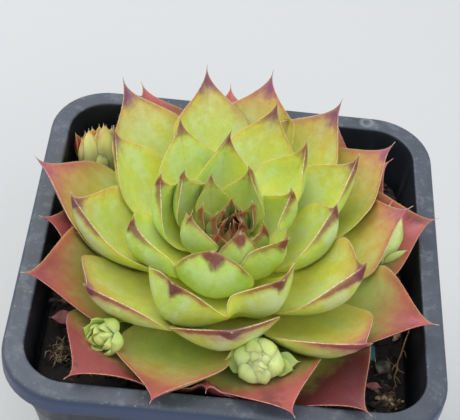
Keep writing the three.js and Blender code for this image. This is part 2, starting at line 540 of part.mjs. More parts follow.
// One leaf of a rosette round the Z axis, from start, in plan and height, to its tip.
// grow makes it larger all round, to cut room for it. detail holds its rows and columns.
function leafGeometry(leaf, start, grow, detail) {
  const { age, azimuth, reach, rise, halfWidth, roll = 0, sway = 0 } = leaf;
  const fold = leaf.fold ?? atAge(FOLDS, age);
  const thickness = leaf.thickness ?? atAge(THICKNESSES, age);
  const widest = atAge(WIDEST_AT, age);
  const pointing = leaf.pointing ?? atAge(TIP_POINTINGS, age);
  const startSlope = radians(leaf.startSlope ?? atAge(START_SLOPES, age));
  const tipSlope = radians(leaf.tipSlope ?? atAge(TIP_SLOPES, age));

  const tip = new THREE.Vector2(reach, rise);
  const chord = start.distanceTo(tip);
  const startHandle = new THREE.Vector2(Math.cos(startSlope), Math.sin(startSlope));
  const tipHandle = new THREE.Vector2(Math.cos(tipSlope), Math.sin(tipSlope));
  startHandle.multiplyScalar((leaf.startHandle ?? START_HANDLE) * chord).add(start);
  tipHandle.multiplyScalar(-(leaf.tipHandle ?? TIP_HANDLE) * chord).add(tip);
  const midrib = new THREE.CubicBezierCurve(start, startHandle, tipHandle, tip);

  const outward = new THREE.Vector3(Math.cos(radians(azimuth)), Math.sin(radians(azimuth)), 0);
  const sideways = new THREE.Vector3(-outward.y, outward.x, 0);
  const up = new THREE.Vector3(0, 0, 1);
  const loops = [];
  for (let row = 0; row <= detail.rows; row += 1) {
    const t = row / detail.rows;
    const point = midrib.getPoint(t);
    const slope = midrib.getTangent(t);
    const along = outward.clone().multiplyScalar(slope.x).addScaledVector(up, slope.y);
    const face = outward.clone().multiplyScalar(-slope.y).addScaledVector(up, slope.x);
    const turn = radians(roll) * Math.min(ROLL_GROWTH * t, 1);
    const across = sideways.clone().multiplyScalar(Math.cos(turn)).addScaledVector(face, Math.sin(turn));
    face.multiplyScalar(Math.cos(turn)).addScaledVector(sideways, -Math.sin(turn));
    const centre = new THREE.Vector3(0, 0, point.y)
      .addScaledVector(outward, point.x)
      .addScaledVector(sideways, sway * t * t);
    if (row === 0) centre.addScaledVector(along, -grow);
    if (row === detail.rows) centre.addScaledVector(along, grow);

    const width = Math.max(halfWidth * widthShare(t, widest, pointing), LEAF_MARGIN / 2);
    const depth = thickness * thicknessShare(t);
    const lower = [];
    const upper = [];
    for (let column = 0; column <= detail.columns; column += 1) {
      const v = (2 * column) / detail.columns - 1;
      const lift = fold * width * v * v;
      const belly = depth * (1 - Math.abs(v) ** BELLY_POWER);
      const steepness = Math.hypot(1, 2 * fold * v);
      const margin = LEAF_MARGIN / 2 + grow * steepness;
      const spot = centre.clone().addScaledVector(across, v * (width + grow));
      lower.push(spot.clone().addScaledVector(face, lift - belly - margin));
      upper.push(spot.clone().addScaledVector(face, lift + margin));
    }
    loops.push([...lower, ...upper.reverse()]);
  }
  return loft(loops);
}

function motherLeaf(leaf, grow, detail = LEAF_DETAIL) {
  const start = new THREE.Vector2(stemRadius(leaf.age) + GAP, stemHeight(leaf.age));
  const geometry = leafGeometry(leaf, start, grow, detail);
  return toSolid(geometry.translate(AXIS.x, AXIS.y, POT_HEIGHT));
}

// The tight middle of the rosette: its smallest leaves, grown together on the growing point.
function heartSolid(grow) {
  const core = new THREE.SphereGeometry(HEART_CORE + grow, ...CORE_FACETS);
  core.translate(AXIS.x, AXIS.y, POT_HEIGHT + CROWN + HEART_CORE + 2 * GAP);
  const leaves = HEART_LEAVES.map((leaf) => motherLeaf(leaf, grow, SMALL_LEAF_DETAIL));
  return union([toSolid(core), ...leaves]);
}

// ---- Offsets -------------------------------------------------------------------------------------

// An offset's leaves have the same shape as the mother's, on a much smaller stem.
function chickSolid(chick) {
  const leaves = chick.leaves.map((leaf) => {
    const radius = CHICK_STEM_TOP_RADIUS + CHICK_STEM_FLARE * leaf.age;
    const start = new THREE.Vector2(radius, CHICK_CROWN - CHICK_STEM_DROP * leaf.age);
    const thickLeaf = { thickness: CHICK_LEAF_THICKNESS, ...leaf };
    return leafGeometry(thickLeaf, start, 0, SMALL_LEAF_DETAIL);
  });
  const [coreRadius, coreHeight] = chick.core;
  const core = new THREE.SphereGeometry(1, ...CORE_FACETS);
  core.scale(coreRadius, coreHeight / 2, coreRadius);
  core.rotateX(Math.PI / 2);
  core.translate(0, 0, coreHeight / 2);
  const leanAxis = new THREE.Vector3(-Math.sin(radians(chick.leanTo)), Math.cos(radians(chick.leanTo)), 0);
  const place = new THREE.Matrix4().compose(
    new THREE.Vector3(chick.place[0], chick.place[1], POT_HEIGHT + chick.place[2]),
    new THREE.Quaternion().setFromAxisAngle(leanAxis, radians(chick.lean)),
    new THREE.Vector3(1, 1, 1),
  );
  return union([core, ...leaves].map((geometry) => toSolid(geometry.applyMatrix4(place))));
}

// The runner that joins an offset to the mother's stem.
function runnerSolid(chick, grow) {
  const [x, y, z] = chick.place;
  const end = new THREE.Vector3(x, y, POT_HEIGHT + z - chick.neck);
  const direction = Math.atan2(y - AXIS.y, x - AXIS.x);
  const startRadius = stemRadius(RUNNER_AGE) + GAP - grow;
  const startZ = POT_HEIGHT + stemHeight(RUNNER_AGE);
  const start = new THREE.Vector3(
    AXIS.x + startRadius * Math.cos(direction),
    AXIS.y + startRadius * Math.sin(direction),
    startZ,
  );
  const middle = start.clone().lerp(end, 0.5);
  middle.z = Math.min(startZ, end.z) + RUNNER_SAG;
  end.addScaledVector(end.clone().sub(middle).normalize(), grow);
  return rod([start, middle, end], RUNNER_RADIUS + grow, RUNNER_SIDES, RUNNER_STEPS);
}

// ---- Litter on the soil ----------------------------------------------------------------------------

function rootletSolid() {
  const route = ROOTLET_ROUTE.map(([x, y, over]) => {
    return new THREE.Vector3(x, y, soilHeight(x, y) + GAP + ROOTLET_RADIUS + over);
  });
  return rod(route, ROOTLET_RADIUS, RUNNER_SIDES, ROOTLET_STEPS);
}

function chipSolid(chip) {
  const outline = new THREE.Shape(chip.outline.map(([x, y]) => new THREE.Vector2(x, y)));
  const geometry = new THREE.ExtrudeGeometry(outline, { depth: chip.thickness, bevelEnabled: false });
  geometry.rotateY(radians(chip.tip));
  geometry.rotateZ(radians(chip.turn));
  geometry.computeBoundingBox();
  const [x, y] = chip.place;
  geometry.translate(x, y, soilHeight(x, y) + GAP - geometry.boundingBox.min.z);
  return toSolid(geometry);
}

// ---- Assembly ----------------------------------------------------------------------------------------

const object = new THREE.Group();

function addPart(name, solid, finish) {
  const material = new THREE.MeshStandardMaterial({ ...finish, metalness: 0 });
  const mesh = new THREE.Mesh(toGeometry(solid), material);
  mesh.name = name;
  object.add(mesh);
}

function leafFinish(age) {
  const blend = THREE.MathUtils.smoothstep(age, REDDENING_AGE, 1);
  return { color: YOUNG_COLOUR.clone().lerp(OLD_COLOUR, blend), roughness: LEAF_ROUGHNESS };
}

// What a later piece has to keep clear of, with the clearance added.
const rooms = [stemSolid(GAP), rimRoom()];

function makeRoom(solid) {
  const near = rooms.filter((room) => !solid.intersect(room).isEmpty());
  return near.length ? largestBody(solid.subtract(union(near))) : solid;
}

addPart("pot", potSolid(), DARK_PLASTIC);
addPart("soil", soilSolid(), WET_EARTH);
addPart("stem", stemSolid(0), GREEN_STEM);

for (const chick of CHICKS) {
  addPart(`runner_${chick.name}`, makeRoom(runnerSolid(chick, 0)), PALE_RUNNER);
  rooms.push(runnerSolid(chick, GAP));
}

addPart("heart", makeRoom(heartSolid(0)), HEART_GREEN);
rooms.push(heartSolid(LEAF_GAP));

function addRing(ring, leaves) {
  leaves.forEach((leaf, index) => {
    addPart(`${ring}_leaf_${index + 1}`, makeRoom(motherLeaf(leaf, 0)), leafFinish(leaf.age));
    rooms.push(motherLeaf(leaf, LEAF_GAP));
  });
}

addRing("inner", INNER_LEAVES);
addRing("middle", MIDDLE_LEAVES);
addRing("outer", OUTER_LEAVES);
addRing("lowest", LOWEST_LEAVES);

for (const chick of CHICKS) {
  addPart(`chick_${chick.name}`, makeRoom(chickSolid(chick)), CHICK_GREEN);
}

addPart("dry_rootlet", rootletSolid(), DRY_FIBRE);
for (const chip of CHIPS) {
  addPart(chip.name, chipSolid(chip), CHIP_FINISHES[chip.name]);
}

export default object;
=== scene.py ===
"""Looks of the potted hens and chicks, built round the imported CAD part.

Shapes are worked out in millimetres and turned into metres when a mesh is made. +Z is up.
Heights of leaves are measured from the pot's rim.
"""

import math

import bmesh
import bpy
import numpy as np
from mathutils import Matrix, Vector, noise


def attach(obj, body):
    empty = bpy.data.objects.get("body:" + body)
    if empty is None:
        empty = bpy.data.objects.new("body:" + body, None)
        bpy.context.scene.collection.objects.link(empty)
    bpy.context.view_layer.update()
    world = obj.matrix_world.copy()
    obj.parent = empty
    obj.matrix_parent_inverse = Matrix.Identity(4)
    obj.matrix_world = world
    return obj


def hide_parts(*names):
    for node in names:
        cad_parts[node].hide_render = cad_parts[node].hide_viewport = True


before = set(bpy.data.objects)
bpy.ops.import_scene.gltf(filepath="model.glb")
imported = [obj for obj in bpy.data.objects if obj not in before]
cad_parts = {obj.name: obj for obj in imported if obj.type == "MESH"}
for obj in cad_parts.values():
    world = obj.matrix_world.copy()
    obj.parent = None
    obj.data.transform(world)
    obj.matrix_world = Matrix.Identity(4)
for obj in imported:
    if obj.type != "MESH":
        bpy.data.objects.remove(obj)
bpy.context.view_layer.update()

MM = 0.001

# ---- Sizes that the CAD part sets ------------------------------------------------------

POT_HEIGHT = 80
POT_RIM_HALF = 45
POT_OPENING_HALF = 40.5
POT_FOOT_HALF = 31
POT_WALL = 1.2
POT_FLOOR = 1.6
POT_SKIRT = 4.5
SHOULDER_Z = 65
POT_SHOULDER_STEP = 0.8
RIM_CORNER = 13.5
RIM_ROUNDING = 1.6
MOUTH_ROUNDING = 0.8
OPENING_CORNER = 9.5
FOOT_CORNER = 8
DRAIN_RADIUS = 3.5
DRAIN_RING = 19
DRAIN_COUNT = 8
SOIL_TOP = 68
AXIS = np.array([-1.5, -1.5, POT_HEIGHT])
CROWN = 0.5
STEM_DROP = 10
STEM_TOP_RADIUS = 1.2
STEM_FLARE = 6.5
GAP = 0.3

# ---- Leaves, as in the CAD part --------------------------------------------------------


def leaf_at(age, azimuth, reach, rise, half_width, kind=(), **traits):
    """A leaf: its age, where its tip lies, its half width, and the traits that are its own."""
    return dict(
        kind, age=age, azimuth=azimuth, reach=reach, rise=rise, half_width=half_width, **traits
    )


# Leaves of the front. Their backs face forward, and their tips point towards the front.
DOMED = dict(start_slope=15, start_handle=0.75, tip_slope=85, tip_handle=0.35, pointing=0.6)
FACING = dict(start_handle=0.6, tip_slope=50, tip_handle=0.35, pointing=1.1)
HEART_LEAVES = [
    leaf_at(0.02, 60, 1.4, 10.5, 1.8),
    leaf_at(0.04, 308, 3.4, 11.5, 2.2),
    leaf_at(0.05, 195, 3.2, 11.5, 2.2),
    leaf_at(0.06, 246, 6, 11.5, 2.7),
    leaf_at(0.08, 172, 6.2, 12, 2.3),
    leaf_at(0.1, 94, 3.2, 12.5, 2.7),
    leaf_at(0.12, 37, 5, 12, 2.8),
]
INNER_LEAVES = [
    leaf_at(0.14, 335, 7.3, 12.6, 3.8),
    leaf_at(0.16, 285, 7.8, 13.5, 5.2, DOMED, pointing=1, fold=0.1),
    leaf_at(0.18, 210, 9.5, 15.5, 5.8, roll=12),
    leaf_at(0.21, 121, 9.5, 14, 4.2, roll=-12),
    leaf_at(0.24, 318, 14.6, 13.8, 6, FACING, sway=2),
    leaf_at(0.25, 68, 10.5, 15.3, 5.8, roll=-6, sway=1.5, fold=0.58),
    leaf_at(0.28, 260, 14, 13.8, 8.5, DOMED, roll=6, sway=-1, fold=0.05),
    leaf_at(0.3, 25, 13.2, 14.8, 5.6, roll=-8, fold=0.7, thickness=3),
    leaf_at(0.31, 146, 13, 15.2, 6.6, roll=-6, fold=0.6, thickness=2.6),
]
MIDDLE_LEAVES = [
    leaf_at(0.36, 168, 16.3, 15.6, 8, roll=-14, sway=-2, fold=0.6, thickness=3),
    leaf_at(0.38, 199, 21.2, 15.1, 9.3, roll=13, fold=0.25),
    leaf_at(0.42, 102, 19.4, 16.5, 6.2, sway=-2.5, fold=0.5),
    leaf_at(0.44, 247, 27.3, 16.4, 9.8, FACING, roll=-10, fold=0.25, start_slope=8,
            start_handle=0.72, tip_slope=60, pointing=0.8),
    leaf_at(0.46, 52, 24.3, 16, 7, roll=-14, fold=0.6, thickness=3.2),
    leaf_at(0.48, 292, 24.8, 17, 8.8, FACING, roll=15, sway=2, fold=0.3, pointing=0.9),
    leaf_at(0.5, 120, 26, 16, 7.5, fold=0.2),
    leaf_at(0.52, 3, 21.6, 16, 9, roll=-14, fold=0.3),
    leaf_at(0.54, 31, 30.8, 16.5, 9, roll=-15, fold=0.5, thickness=3.2),
    leaf_at(0.56, 148, 32, 16.5, 8.6, roll=13, fold=0.25, thickness=3),
    leaf_at(0.58, 77, 32.5, 16, 8.5, roll=-7, sway=-1, fold=0.42),
]
OUTER_LEAVES = [
    leaf_at(0.6, 329, 31.3, 16.5, 11.5, roll=6, sway=1.5, red=0.2),
    leaf_at(0.62, 186, 33.8, 16.2, 10, fold=0.55),
    leaf_at(0.64, 101.5, 42.5, 15.3, 9.8, roll=14, fold=0.28),
    leaf_at(0.66, 271, 35.2, 15.4, 11, FACING, red=0.3, roll=10, sway=1, fold=0.15, tip_slope=42),
    leaf_at(0.68, 128, 44.2, 15, 10.8, roll=8, fold=0.32),
    leaf_at(0.7, 57, 42.4, 14.5, 11.2, roll=-15, fold=0.6),
    leaf_at(0.71, 222.5, 37.8, 14, 13, roll=6, fold=0.18),
    leaf_at(0.74, 83.5, 44.8, 13.6, 11.3, roll=-19, sway=-2, fold=0.42),
    leaf_at(0.75, 311, 43.7, 13.5, 11.2, roll=-13, red=0.4),
    leaf_at(0.78, 36, 43.6, 11.8, 12.8, roll=-13, fold=0.33),
    leaf_at(0.79, 10.5, 39, 11.6, 11.6, roll=5, sway=-0.7, fold=0.15),
    leaf_at(0.8, 166, 44.7, 11, 12.8, roll=14, fold=0.17, red=0.3),
]
LOWEST_LEAVES = [
    leaf_at(0.88, 60, 47.2, 7.1, 12.7, red=0.2),
    leaf_at(0.89, 252, 48, 6.3, 12, roll=10, sway=2.5, fold=0.28, red=0.15),
    leaf_at(0.9, 203, 45.2, 6, 12.2, roll=-13, fold=0.35, red=0.35),
    leaf_at(0.91, 334.5, 48.4, 6, 10.8, roll=13, fold=0.4, red=0.3),
    leaf_at(0.92, 118, 50.8, 5.4, 12.2, roll=10, red=0.2),
    leaf_at(0.925, 93, 47.4, 5.3, 11.6, red=0.2),
    leaf_at(0.93, 12, 46.7, 5.4, 12.5, roll=13, fold=0.4, red=0.7),
    leaf_at(0.94, 285, 48.5, 5.8, 11.8, roll=11, sway=2.5, red=0.8),
    leaf_at(0.95, 37.5, 45.6, 4.6, 12.3, red=0.5),
    leaf_at(0.96, 180, 40.8, 4, 12, red=0.6),
    leaf_at(0.97, 234.5, 50.6, 4, 13, fold=0.1, red=0.9),
    leaf_at(0.985, 267, 41, 3.5, 12.5, red=0.6),
    leaf_at(1, 305.5, 51.8, 2.8, 12.2, roll=13, red=1.3),
]

# Tiny leaves that fill the very middle of the rosette.
GOLDEN_ANGLE = 137.5
BUD_LEAVES = [
    leaf_at(0.01 * i, 25 + GOLDEN_ANGLE * i, 0.5 + 0.28 * i, 8.6 + 0.22 * i, 0.9 + 0.09 * i,
            fold=0.5) for i in range(9)
]

AGES = [0, 0.1, 0.2, 0.3, 0.45, 0.6, 0.7, 0.8, 0.9, 1]
TRAITS = dict(
    start_slope=[60, 50, 38, 24, 15, 10, 8, 5, 2, -2],
    tip_slope=[98, 96, 96, 96, 88, 74, 60, 42, 24, 10],
    fold=[0.45, 0.45, 0.45, 0.45, 0.42, 0.38, 0.32, 0.27, 0.22, 0.15],
    thickness=[1.3, 1.8, 2.8, 3.8, 4.4, 4.2, 3.8, 3.4, 3, 2.6],
    widest=[0.48, 0.48, 0.48, 0.5, 0.53, 0.58, 0.6, 0.62, 0.62, 0.62],
    pointing=[2.6, 2.6, 2.6, 2.5, 2.1, 1.8, 1.8, 1.8, 1.8, 1.8],
)
LEAF_MARGIN = 0.17
SPINE_SHARE = 0.05
LEAF_BASE_WIDTH = 0.34
LEAF_WIDTH_SWELL = 1.1
LEAF_THICKEST = 0.55
LEAF_BASE_THICKNESS = 0.55
LEAF_THICKNESS_TAPER = 1.2
START_HANDLE = 0.45
TIP_HANDLE = 0.36
ROLL_GROWTH = 1.6
BELLY_POWER = 1.7
TIP_BELLY_POWER = 1.25  # the back grows a keel towards the tip


def trait(leaf, name):
    return leaf.get(name, float(np.interp(leaf["age"], AGES, TRAITS[name])))


def unit(vectors):
    return vectors / np.linalg.norm(vectors, axis=-1, keepdims=True)


def heading(degrees):
    angle = math.radians(degrees)
    return np.array([math.cos(angle), math.sin(angle)])


def swell(t, peak, base, power=1):
    """Grows from base at 0 to 1 at the peak."""
    return base + (1 - base) * np.sin(np.clip(t / peak, 0, 1) * np.pi / 2) ** power


def taper(t, peak, power):
    """Falls from 1 at the peak to 0 at 1."""
    past = np.clip((t - peak) / (1 - peak), 0, 1)
    return np.maximum(np.cos(past * np.pi / 2), 0) ** power


def width_share(t, widest, pointing):
    far = taper(t, widest, pointing) * (1 - np.exp(-(1 - t) / SPINE_SHARE))
    return np.where(t < widest, swell(t, widest, LEAF_BASE_WIDTH, LEAF_WIDTH_SWELL), far)


def thickness_share(t):
    far = taper(t, LEAF_THICKEST, LEAF_THICKNESS_TAPER)
    return np.where(t < LEAF_THICKEST, swell(t, LEAF_THICKEST, LEAF_BASE_THICKNESS), far)


class Blade:
    """The frame along one leaf: where its midrib runs, and which way its face looks."""

    def __init__(self, leaf, start=None):
        self.leaf, age = leaf, leaf["age"]
        if start is None:
            start = (STEM_TOP_RADIUS + STEM_FLARE * age + GAP, CROWN - STEM_DROP * age)
        start, tip = np.array(start, float), np.array([leaf["reach"], leaf["rise"]], float)
        chord = np.linalg.norm(tip - start)
        up, down = (heading(trait(leaf, name)) for name in ("start_slope", "tip_slope"))
        near, far = leaf.get("start_handle", START_HANDLE), leaf.get("tip_handle", TIP_HANDLE)
        self.points = (start, start + near * chord * up, tip - far * chord * down, tip)
        x, y = heading(leaf["azimuth"])
        self.outward, self.sideways = np.array([x, y, 0]), np.array([-y, x, 0])
        fine = self.midrib(np.linspace(0, 1, 200))
        self.arc = np.concatenate([[0], np.cumsum(np.linalg.norm(np.diff(fine, axis=0), axis=1))])
        self.shares = np.linspace(0, 1, len(self.arc))

    def midrib(self, t):
        a, b, c, d = self.points
        t = t[:, None]
        return (1 - t) ** 3 * a + 3 * (1 - t) ** 2 * t * b + 3 * (1 - t) * t * t * c + t**3 * d

    def length_to(self, t):
        return np.interp(t, self.shares, self.arc)

    def share_at(self, length):
        return np.interp(length, self.arc, self.shares)

    def at(self, t):
        """Centre, direction along, direction across and face normal at each t."""
        a, b, c, d = self.points
        s = t[:, None]
        slope = unit((1 - s) ** 2 * (b - a) + 2 * (1 - s) * s * (c - b) + s * s * (d - c))
        spot = self.midrib(t)
        up = np.array([0, 0, 1.0])
        along = slope[:, :1] * self.outward + slope[:, 1:] * up
        face = -slope[:, 1:] * self.outward + slope[:, :1] * up
        turn = math.radians(self.leaf.get("roll", 0)) * np.minimum(ROLL_GROWTH * t, 1)
        cos, sin = np.cos(turn)[:, None], np.sin(turn)[:, None]
        across = cos * self.sideways + sin * face
        face = cos * face - sin * self.sideways
        sway = self.leaf.get("sway", 0) * s * s
        centre = spot[:, :1] * self.outward + spot[:, 1:] * up + sway * self.sideways
        return centre, along, across, face

    def width(self, t):
        shares = width_share(t, trait(self.leaf, "widest"), trait(self.leaf, "pointing"))
        return np.maximum(self.leaf["half_width"] * shares, self.leaf.get("spine", 0.07))


def loft_faces(rows, sides):
    """Faces of a tube of rows loops. The two points that follow the loops close its ends."""
    faces = []
    for i in range(rows - 1):
        for k in range(sides):
            a, b = i * sides + k, i * sides + (k + 1) % sides
            faces.append([a, b, b + sides, a + sides])
    last = (rows - 1) * sides
    for k in range(sides):
        after = (k + 1) % sides
        faces.append([rows * sides, after, k])
        faces.append([rows * sides + 1, last + k, last + after])
    return faces


class Shape:
    """Vertices, faces and the fields that the materials read, gathered from several pieces."""

    def __init__(self):
        self.points, self.faces, self.fields, self.count = [], [], {}, 0

    def add(self, points, faces, **fields):
        points = np.asarray(points, float).reshape(-1, 3)
        for name, value in fields.items():
            value = np.asarray(value, float)
            if value.ndim == 0:
                value = np.full(len(points), float(value))
            self.fields.setdefault(name, []).append((self.count, value))
        self.points.append(points)
        self.faces.extend([[i + self.count for i in face] for face in faces])
        self.count += len(points)

    def add_loops(self, loops, ends=None, **fields):
        """A tube through loops of points, closed on a point at each end."""
        first, last = ends or (loops[0].mean(0), loops[-1].mean(0))
        points = np.concatenate([*loops, [first], [last]])
        self.add(points, loft_faces(len(loops), len(loops[0])), **fields)
        return self

    def place(self, matrix):
        matrix = np.array(matrix)
        self.points = [p @ matrix[:3, :3].T + matrix[:3, 3] for p in self.points]

    def build(self, name, material, slot=None, node=None):
        mesh = bpy.data.meshes.new(name)
        points = np.concatenate(self.points) * MM
        mesh.from_pydata(points.tolist(), [], self.faces)
        for field, parts in self.fields.items():
            wide = parts[0][1].ndim == 2
            whole = np.zeros((self.count, 3) if wide else self.count, np.float32)
            for start, value in parts:
                whole[start : start + len(value)] = value
            kind, key = ("FLOAT_VECTOR", "vector") if wide else ("FLOAT", "value")
            mesh.attributes.new(field, kind, "POINT").data.foreach_set(key, whole.ravel())
        mesh.polygons.foreach_set("use_smooth", [True] * len(mesh.polygons))
        mesh.materials.append(material)
        mesh.validate()
        mesh.update()
        piece = bpy.data.objects.new(name, mesh)
        bpy.context.scene.collection.objects.link(piece)
        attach(piece, "root")
        if node:
            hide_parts(node)
        return piece


# How a leaf gives way to the younger leaves above it.
TUCK_ROWS, TUCK_COLUMNS = 26, 13
TUCK_CLEARANCE = 0.2
TUCK_DEPTH = 5
TUCK_ASIDE = 0.9
TUCK_NEAR = 3
TUCK_ROUNDS, TUCK_SMOOTHINGS = 3, 3
TUCK_HELD, TUCK_EASE = 0.08, 0.2  # the base of a leaf stays on the stem


def length_of(vectors):
    return np.linalg.norm(vectors, axis=-1)


def across_blade(grid):
    """Each value blended with its neighbours along and across the blade."""
    grown = np.pad(grid, ((1, 1), (1, 1), (0, 0)), "edge")
    near = grown[:-2, 1:-1] + grown[2:, 1:-1] + grown[1:-1, :-2] + grown[1:-1, 2:]
    return 0.5 * grid + 0.125 * near


def push_from(spots, points, normals, deepest, clearance):
    """How far each spot has to move off an underside that is given as points and normals."""
    gaps = spots[:, None] - points[None]
    closest = np.argmin((gaps**2).sum(-1), 1)
    gap, normal = gaps[np.arange(len(spots)), closest], normals[closest]
    out = (gap * normal).sum(1)
    aside = length_of(gap - out[:, None] * normal)
    tight = (aside < TUCK_ASIDE) & (out < clearance) & (out > -deepest)
    return np.where(tight, clearance - out, 0)[:, None] * normal


def tucked(blade, above, deepest, clearance):
    """How far each place of a leaf has to move to lie under the leaves above it.

    above holds the undersides of the younger leaves, each as points, normals and reach. This
    leaf's own underside is added to it. A place further than deepest inside a leaf is on its
    other side. A clearance below zero lets the leaves grow together.
    """
    leaf = blade.leaf
    t = np.linspace(0.0, 1.0, TUCK_ROWS)
    v = np.linspace(-1, 1, TUCK_COLUMNS)[None, :]
    centre, _, across, face = blade.at(t)
    w = blade.width(t)[:, None]
    lift = trait(leaf, "fold") * w * v * v
    top = centre[:, None] + across[:, None] * (v * w)[..., None] + face[:, None] * lift[..., None]
    move = np.zeros_like(top)
    ease = np.clip((t - TUCK_HELD) / TUCK_EASE, 0, 1)[:, None, None]
    for _ in range(TUCK_ROUNDS):
        spots = (top + move).reshape(-1, 3)
        push = np.zeros_like(spots)
        for points, normals, reach in above:
            near = length_of(spots - points.mean(0)) < reach + TUCK_NEAR
            if near.any():
                asked = push_from(spots[near], points, normals, deepest, clearance)
                stronger = length_of(asked) > length_of(push[near])
                push[near] = np.where(stronger[:, None], asked, push[near])
        push = push.reshape(move.shape)
        for _ in range(TUCK_SMOOTHINGS):
            soft = across_blade(push)
            push = np.where((length_of(push) > length_of(soft))[..., None], push, soft)
        move = move + ease * across_blade(push)
    depth = (trait(leaf, "thickness") * thickness_share(t))[:, None]
    belly = depth * (1 - np.abs(v) ** BELLY_POWER)
    under = top + move - face[:, None] * (belly + LEAF_MARGIN / 2)[..., None]
    normals = np.cross(np.gradient(under, axis=1), np.gradient(under, axis=0))
    normals /= length_of(normals)[..., None] + 1e-9
    flip = np.sign((normals * -face[:, None]).sum(-1, keepdims=True))
    points = under.reshape(-1, 3)
    reach = length_of(points - points.mean(0)).max()
    above.append((points, (normals * flip).reshape(-1, 3), reach))
    return move


def read_off(grid, t, v):
    """The values of a tuck grid at rows t and columns v, between its own places."""
    row = np.clip(t * (TUCK_ROWS - 1), 0, TUCK_ROWS - 1.001)
    column = np.clip((v + 1) / 2 * (TUCK_COLUMNS - 1), 0, TUCK_COLUMNS - 1.001)
    i, j = row.astype(int)[:, None], column.astype(int)[None, :]
    a, b = (row % 1)[:, None, None], (column % 1)[None, :, None]
    low = (1 - b) * grid[i, j] + b * grid[i, j + 1]
    high = (1 - b) * grid[i + 1, j] + b * grid[i + 1, j + 1]
    return (1 - a) * low + a * high


ROWS_TO_TIP = 1.35  # rows crowd towards the tip
SIDES_TO_EDGE = 0.8  # and sides towards the margins
WAVES = ((0.018, 9, 2.2, 2), (0.012, 17, -3, 3))  # share of the width, along, across, to the edge
DENT_DEPTH, DENT_WIDTH = 0.07, 0.22
BASE_CAP, TIP_CAP = 0.2, 0.25
TINT_SPREAD = 0.06


def add_leaf(shape, leaf, rng, above, rows=44, sides=40, start=None, origin=AXIS,
             deepest=TUCK_DEPTH, clearance=TUCK_CLEARANCE, teeth=None):
    """One leaf with its thin margin, faint waves and a fringe of fine teeth."""
    blade = Blade(leaf, start)
    move = tucked(blade, above, deepest, clearance)
    rows_at = 1 - (1 - np.linspace(0, 1, rows)) ** ROWS_TO_TIP
    centre, along, across, face = blade.at(rows_at)
    angle = 2 * np.pi * (np.arange(sides) + 0.5) / sides
    columns_at = np.sign(np.cos(angle)) * np.abs(np.cos(angle)) ** SIDES_TO_EDGE
    below = (np.sin(angle) < 0)[None, :]
    t, v = rows_at[:, None], columns_at[None, :]
    w = blade.width(rows_at)[:, None]
    depth = trait(leaf, "thickness") * thickness_share(t)
    fold = trait(leaf, "fold")
    edge = (1 - np.abs(v)) * w
    half_margin = np.minimum(leaf.get("margin", LEAF_MARGIN) / 2, 0.8 * w)
    rim = half_margin * np.sqrt(np.clip(1 - (1 - np.clip(edge / half_margin, 0, 1)) ** 2, 0.02, 1))
    power = BELLY_POWER + (TIP_BELLY_POWER - BELLY_POWER) * np.clip((t - 0.5) / 0.4, 0, 1)
    belly = depth * (1 - np.abs(v) ** power)
    phase = rng.uniform(0, 2 * np.pi, 4)
    wave = sum(
        share * leaf["half_width"] * np.sin(up * t + out * v + begin) * np.abs(v) ** grow
        for (share, up, out, grow), begin in zip(WAVES, phase)
    )
    dent = DENT_DEPTH * depth * np.exp(-((v / DENT_WIDTH) ** 2)) * np.clip(4 * (1 - t), 0, 1)
    lift = fold * w * v * v + wave * np.clip(5 * t, 0, 1) * np.clip(6 * (1 - t), 0, 1)
    lift = np.where(below, lift - belly - rim, lift + rim - dent)
    spot = centre[:, None] + across[:, None] * (v * w)[..., None] + face[:, None] * lift[..., None]
    spot = spot + read_off(move, rows_at, columns_at)
    reach = blade.length_to(t)
    total = blade.arc[-1]
    run = np.stack([v * w, reach + 0 * v, np.full_like(v * w, rng.uniform(0, 500))], -1)
    ends = [spot[0].mean(0) - along[0] * BASE_CAP, spot[-1].mean(0) + along[-1] * TIP_CAP]
    tint = leaf.get("red", 0) + rng.uniform(-TINT_SPREAD, TINT_SPREAD)
    look = dict(leaf_age=leaf.get("look", leaf["age"]), leaf_red=tint)

    def closed(grid, first, last):
        return np.concatenate([(grid + 0 * edge).reshape(-1), [first, last]])

    shape.add(
        np.concatenate([spot.reshape(-1, 3), ends]) + origin,
        loft_faces(rows, sides),
        leaf_tip=closed(total - reach, total, 0),
        leaf_edge=closed(edge, 0, 0),
        leaf_back=closed(np.where(below, 1.0, 0.0), 1, 1),
        leaf_t=closed(t, 0, 1),
        leaf_run=np.concatenate([run.reshape(-1, 3), run[0, :1], run[-1, :1]]),
        **look,
    )
    if teeth:
        add_teeth(shape, blade, rng, origin, look, fold, move, **teeth)


TOOTH_ROOT = 0.08
TOOTH_SLIMNESS = 0.17
TOOTHLESS_TIP = 0.5


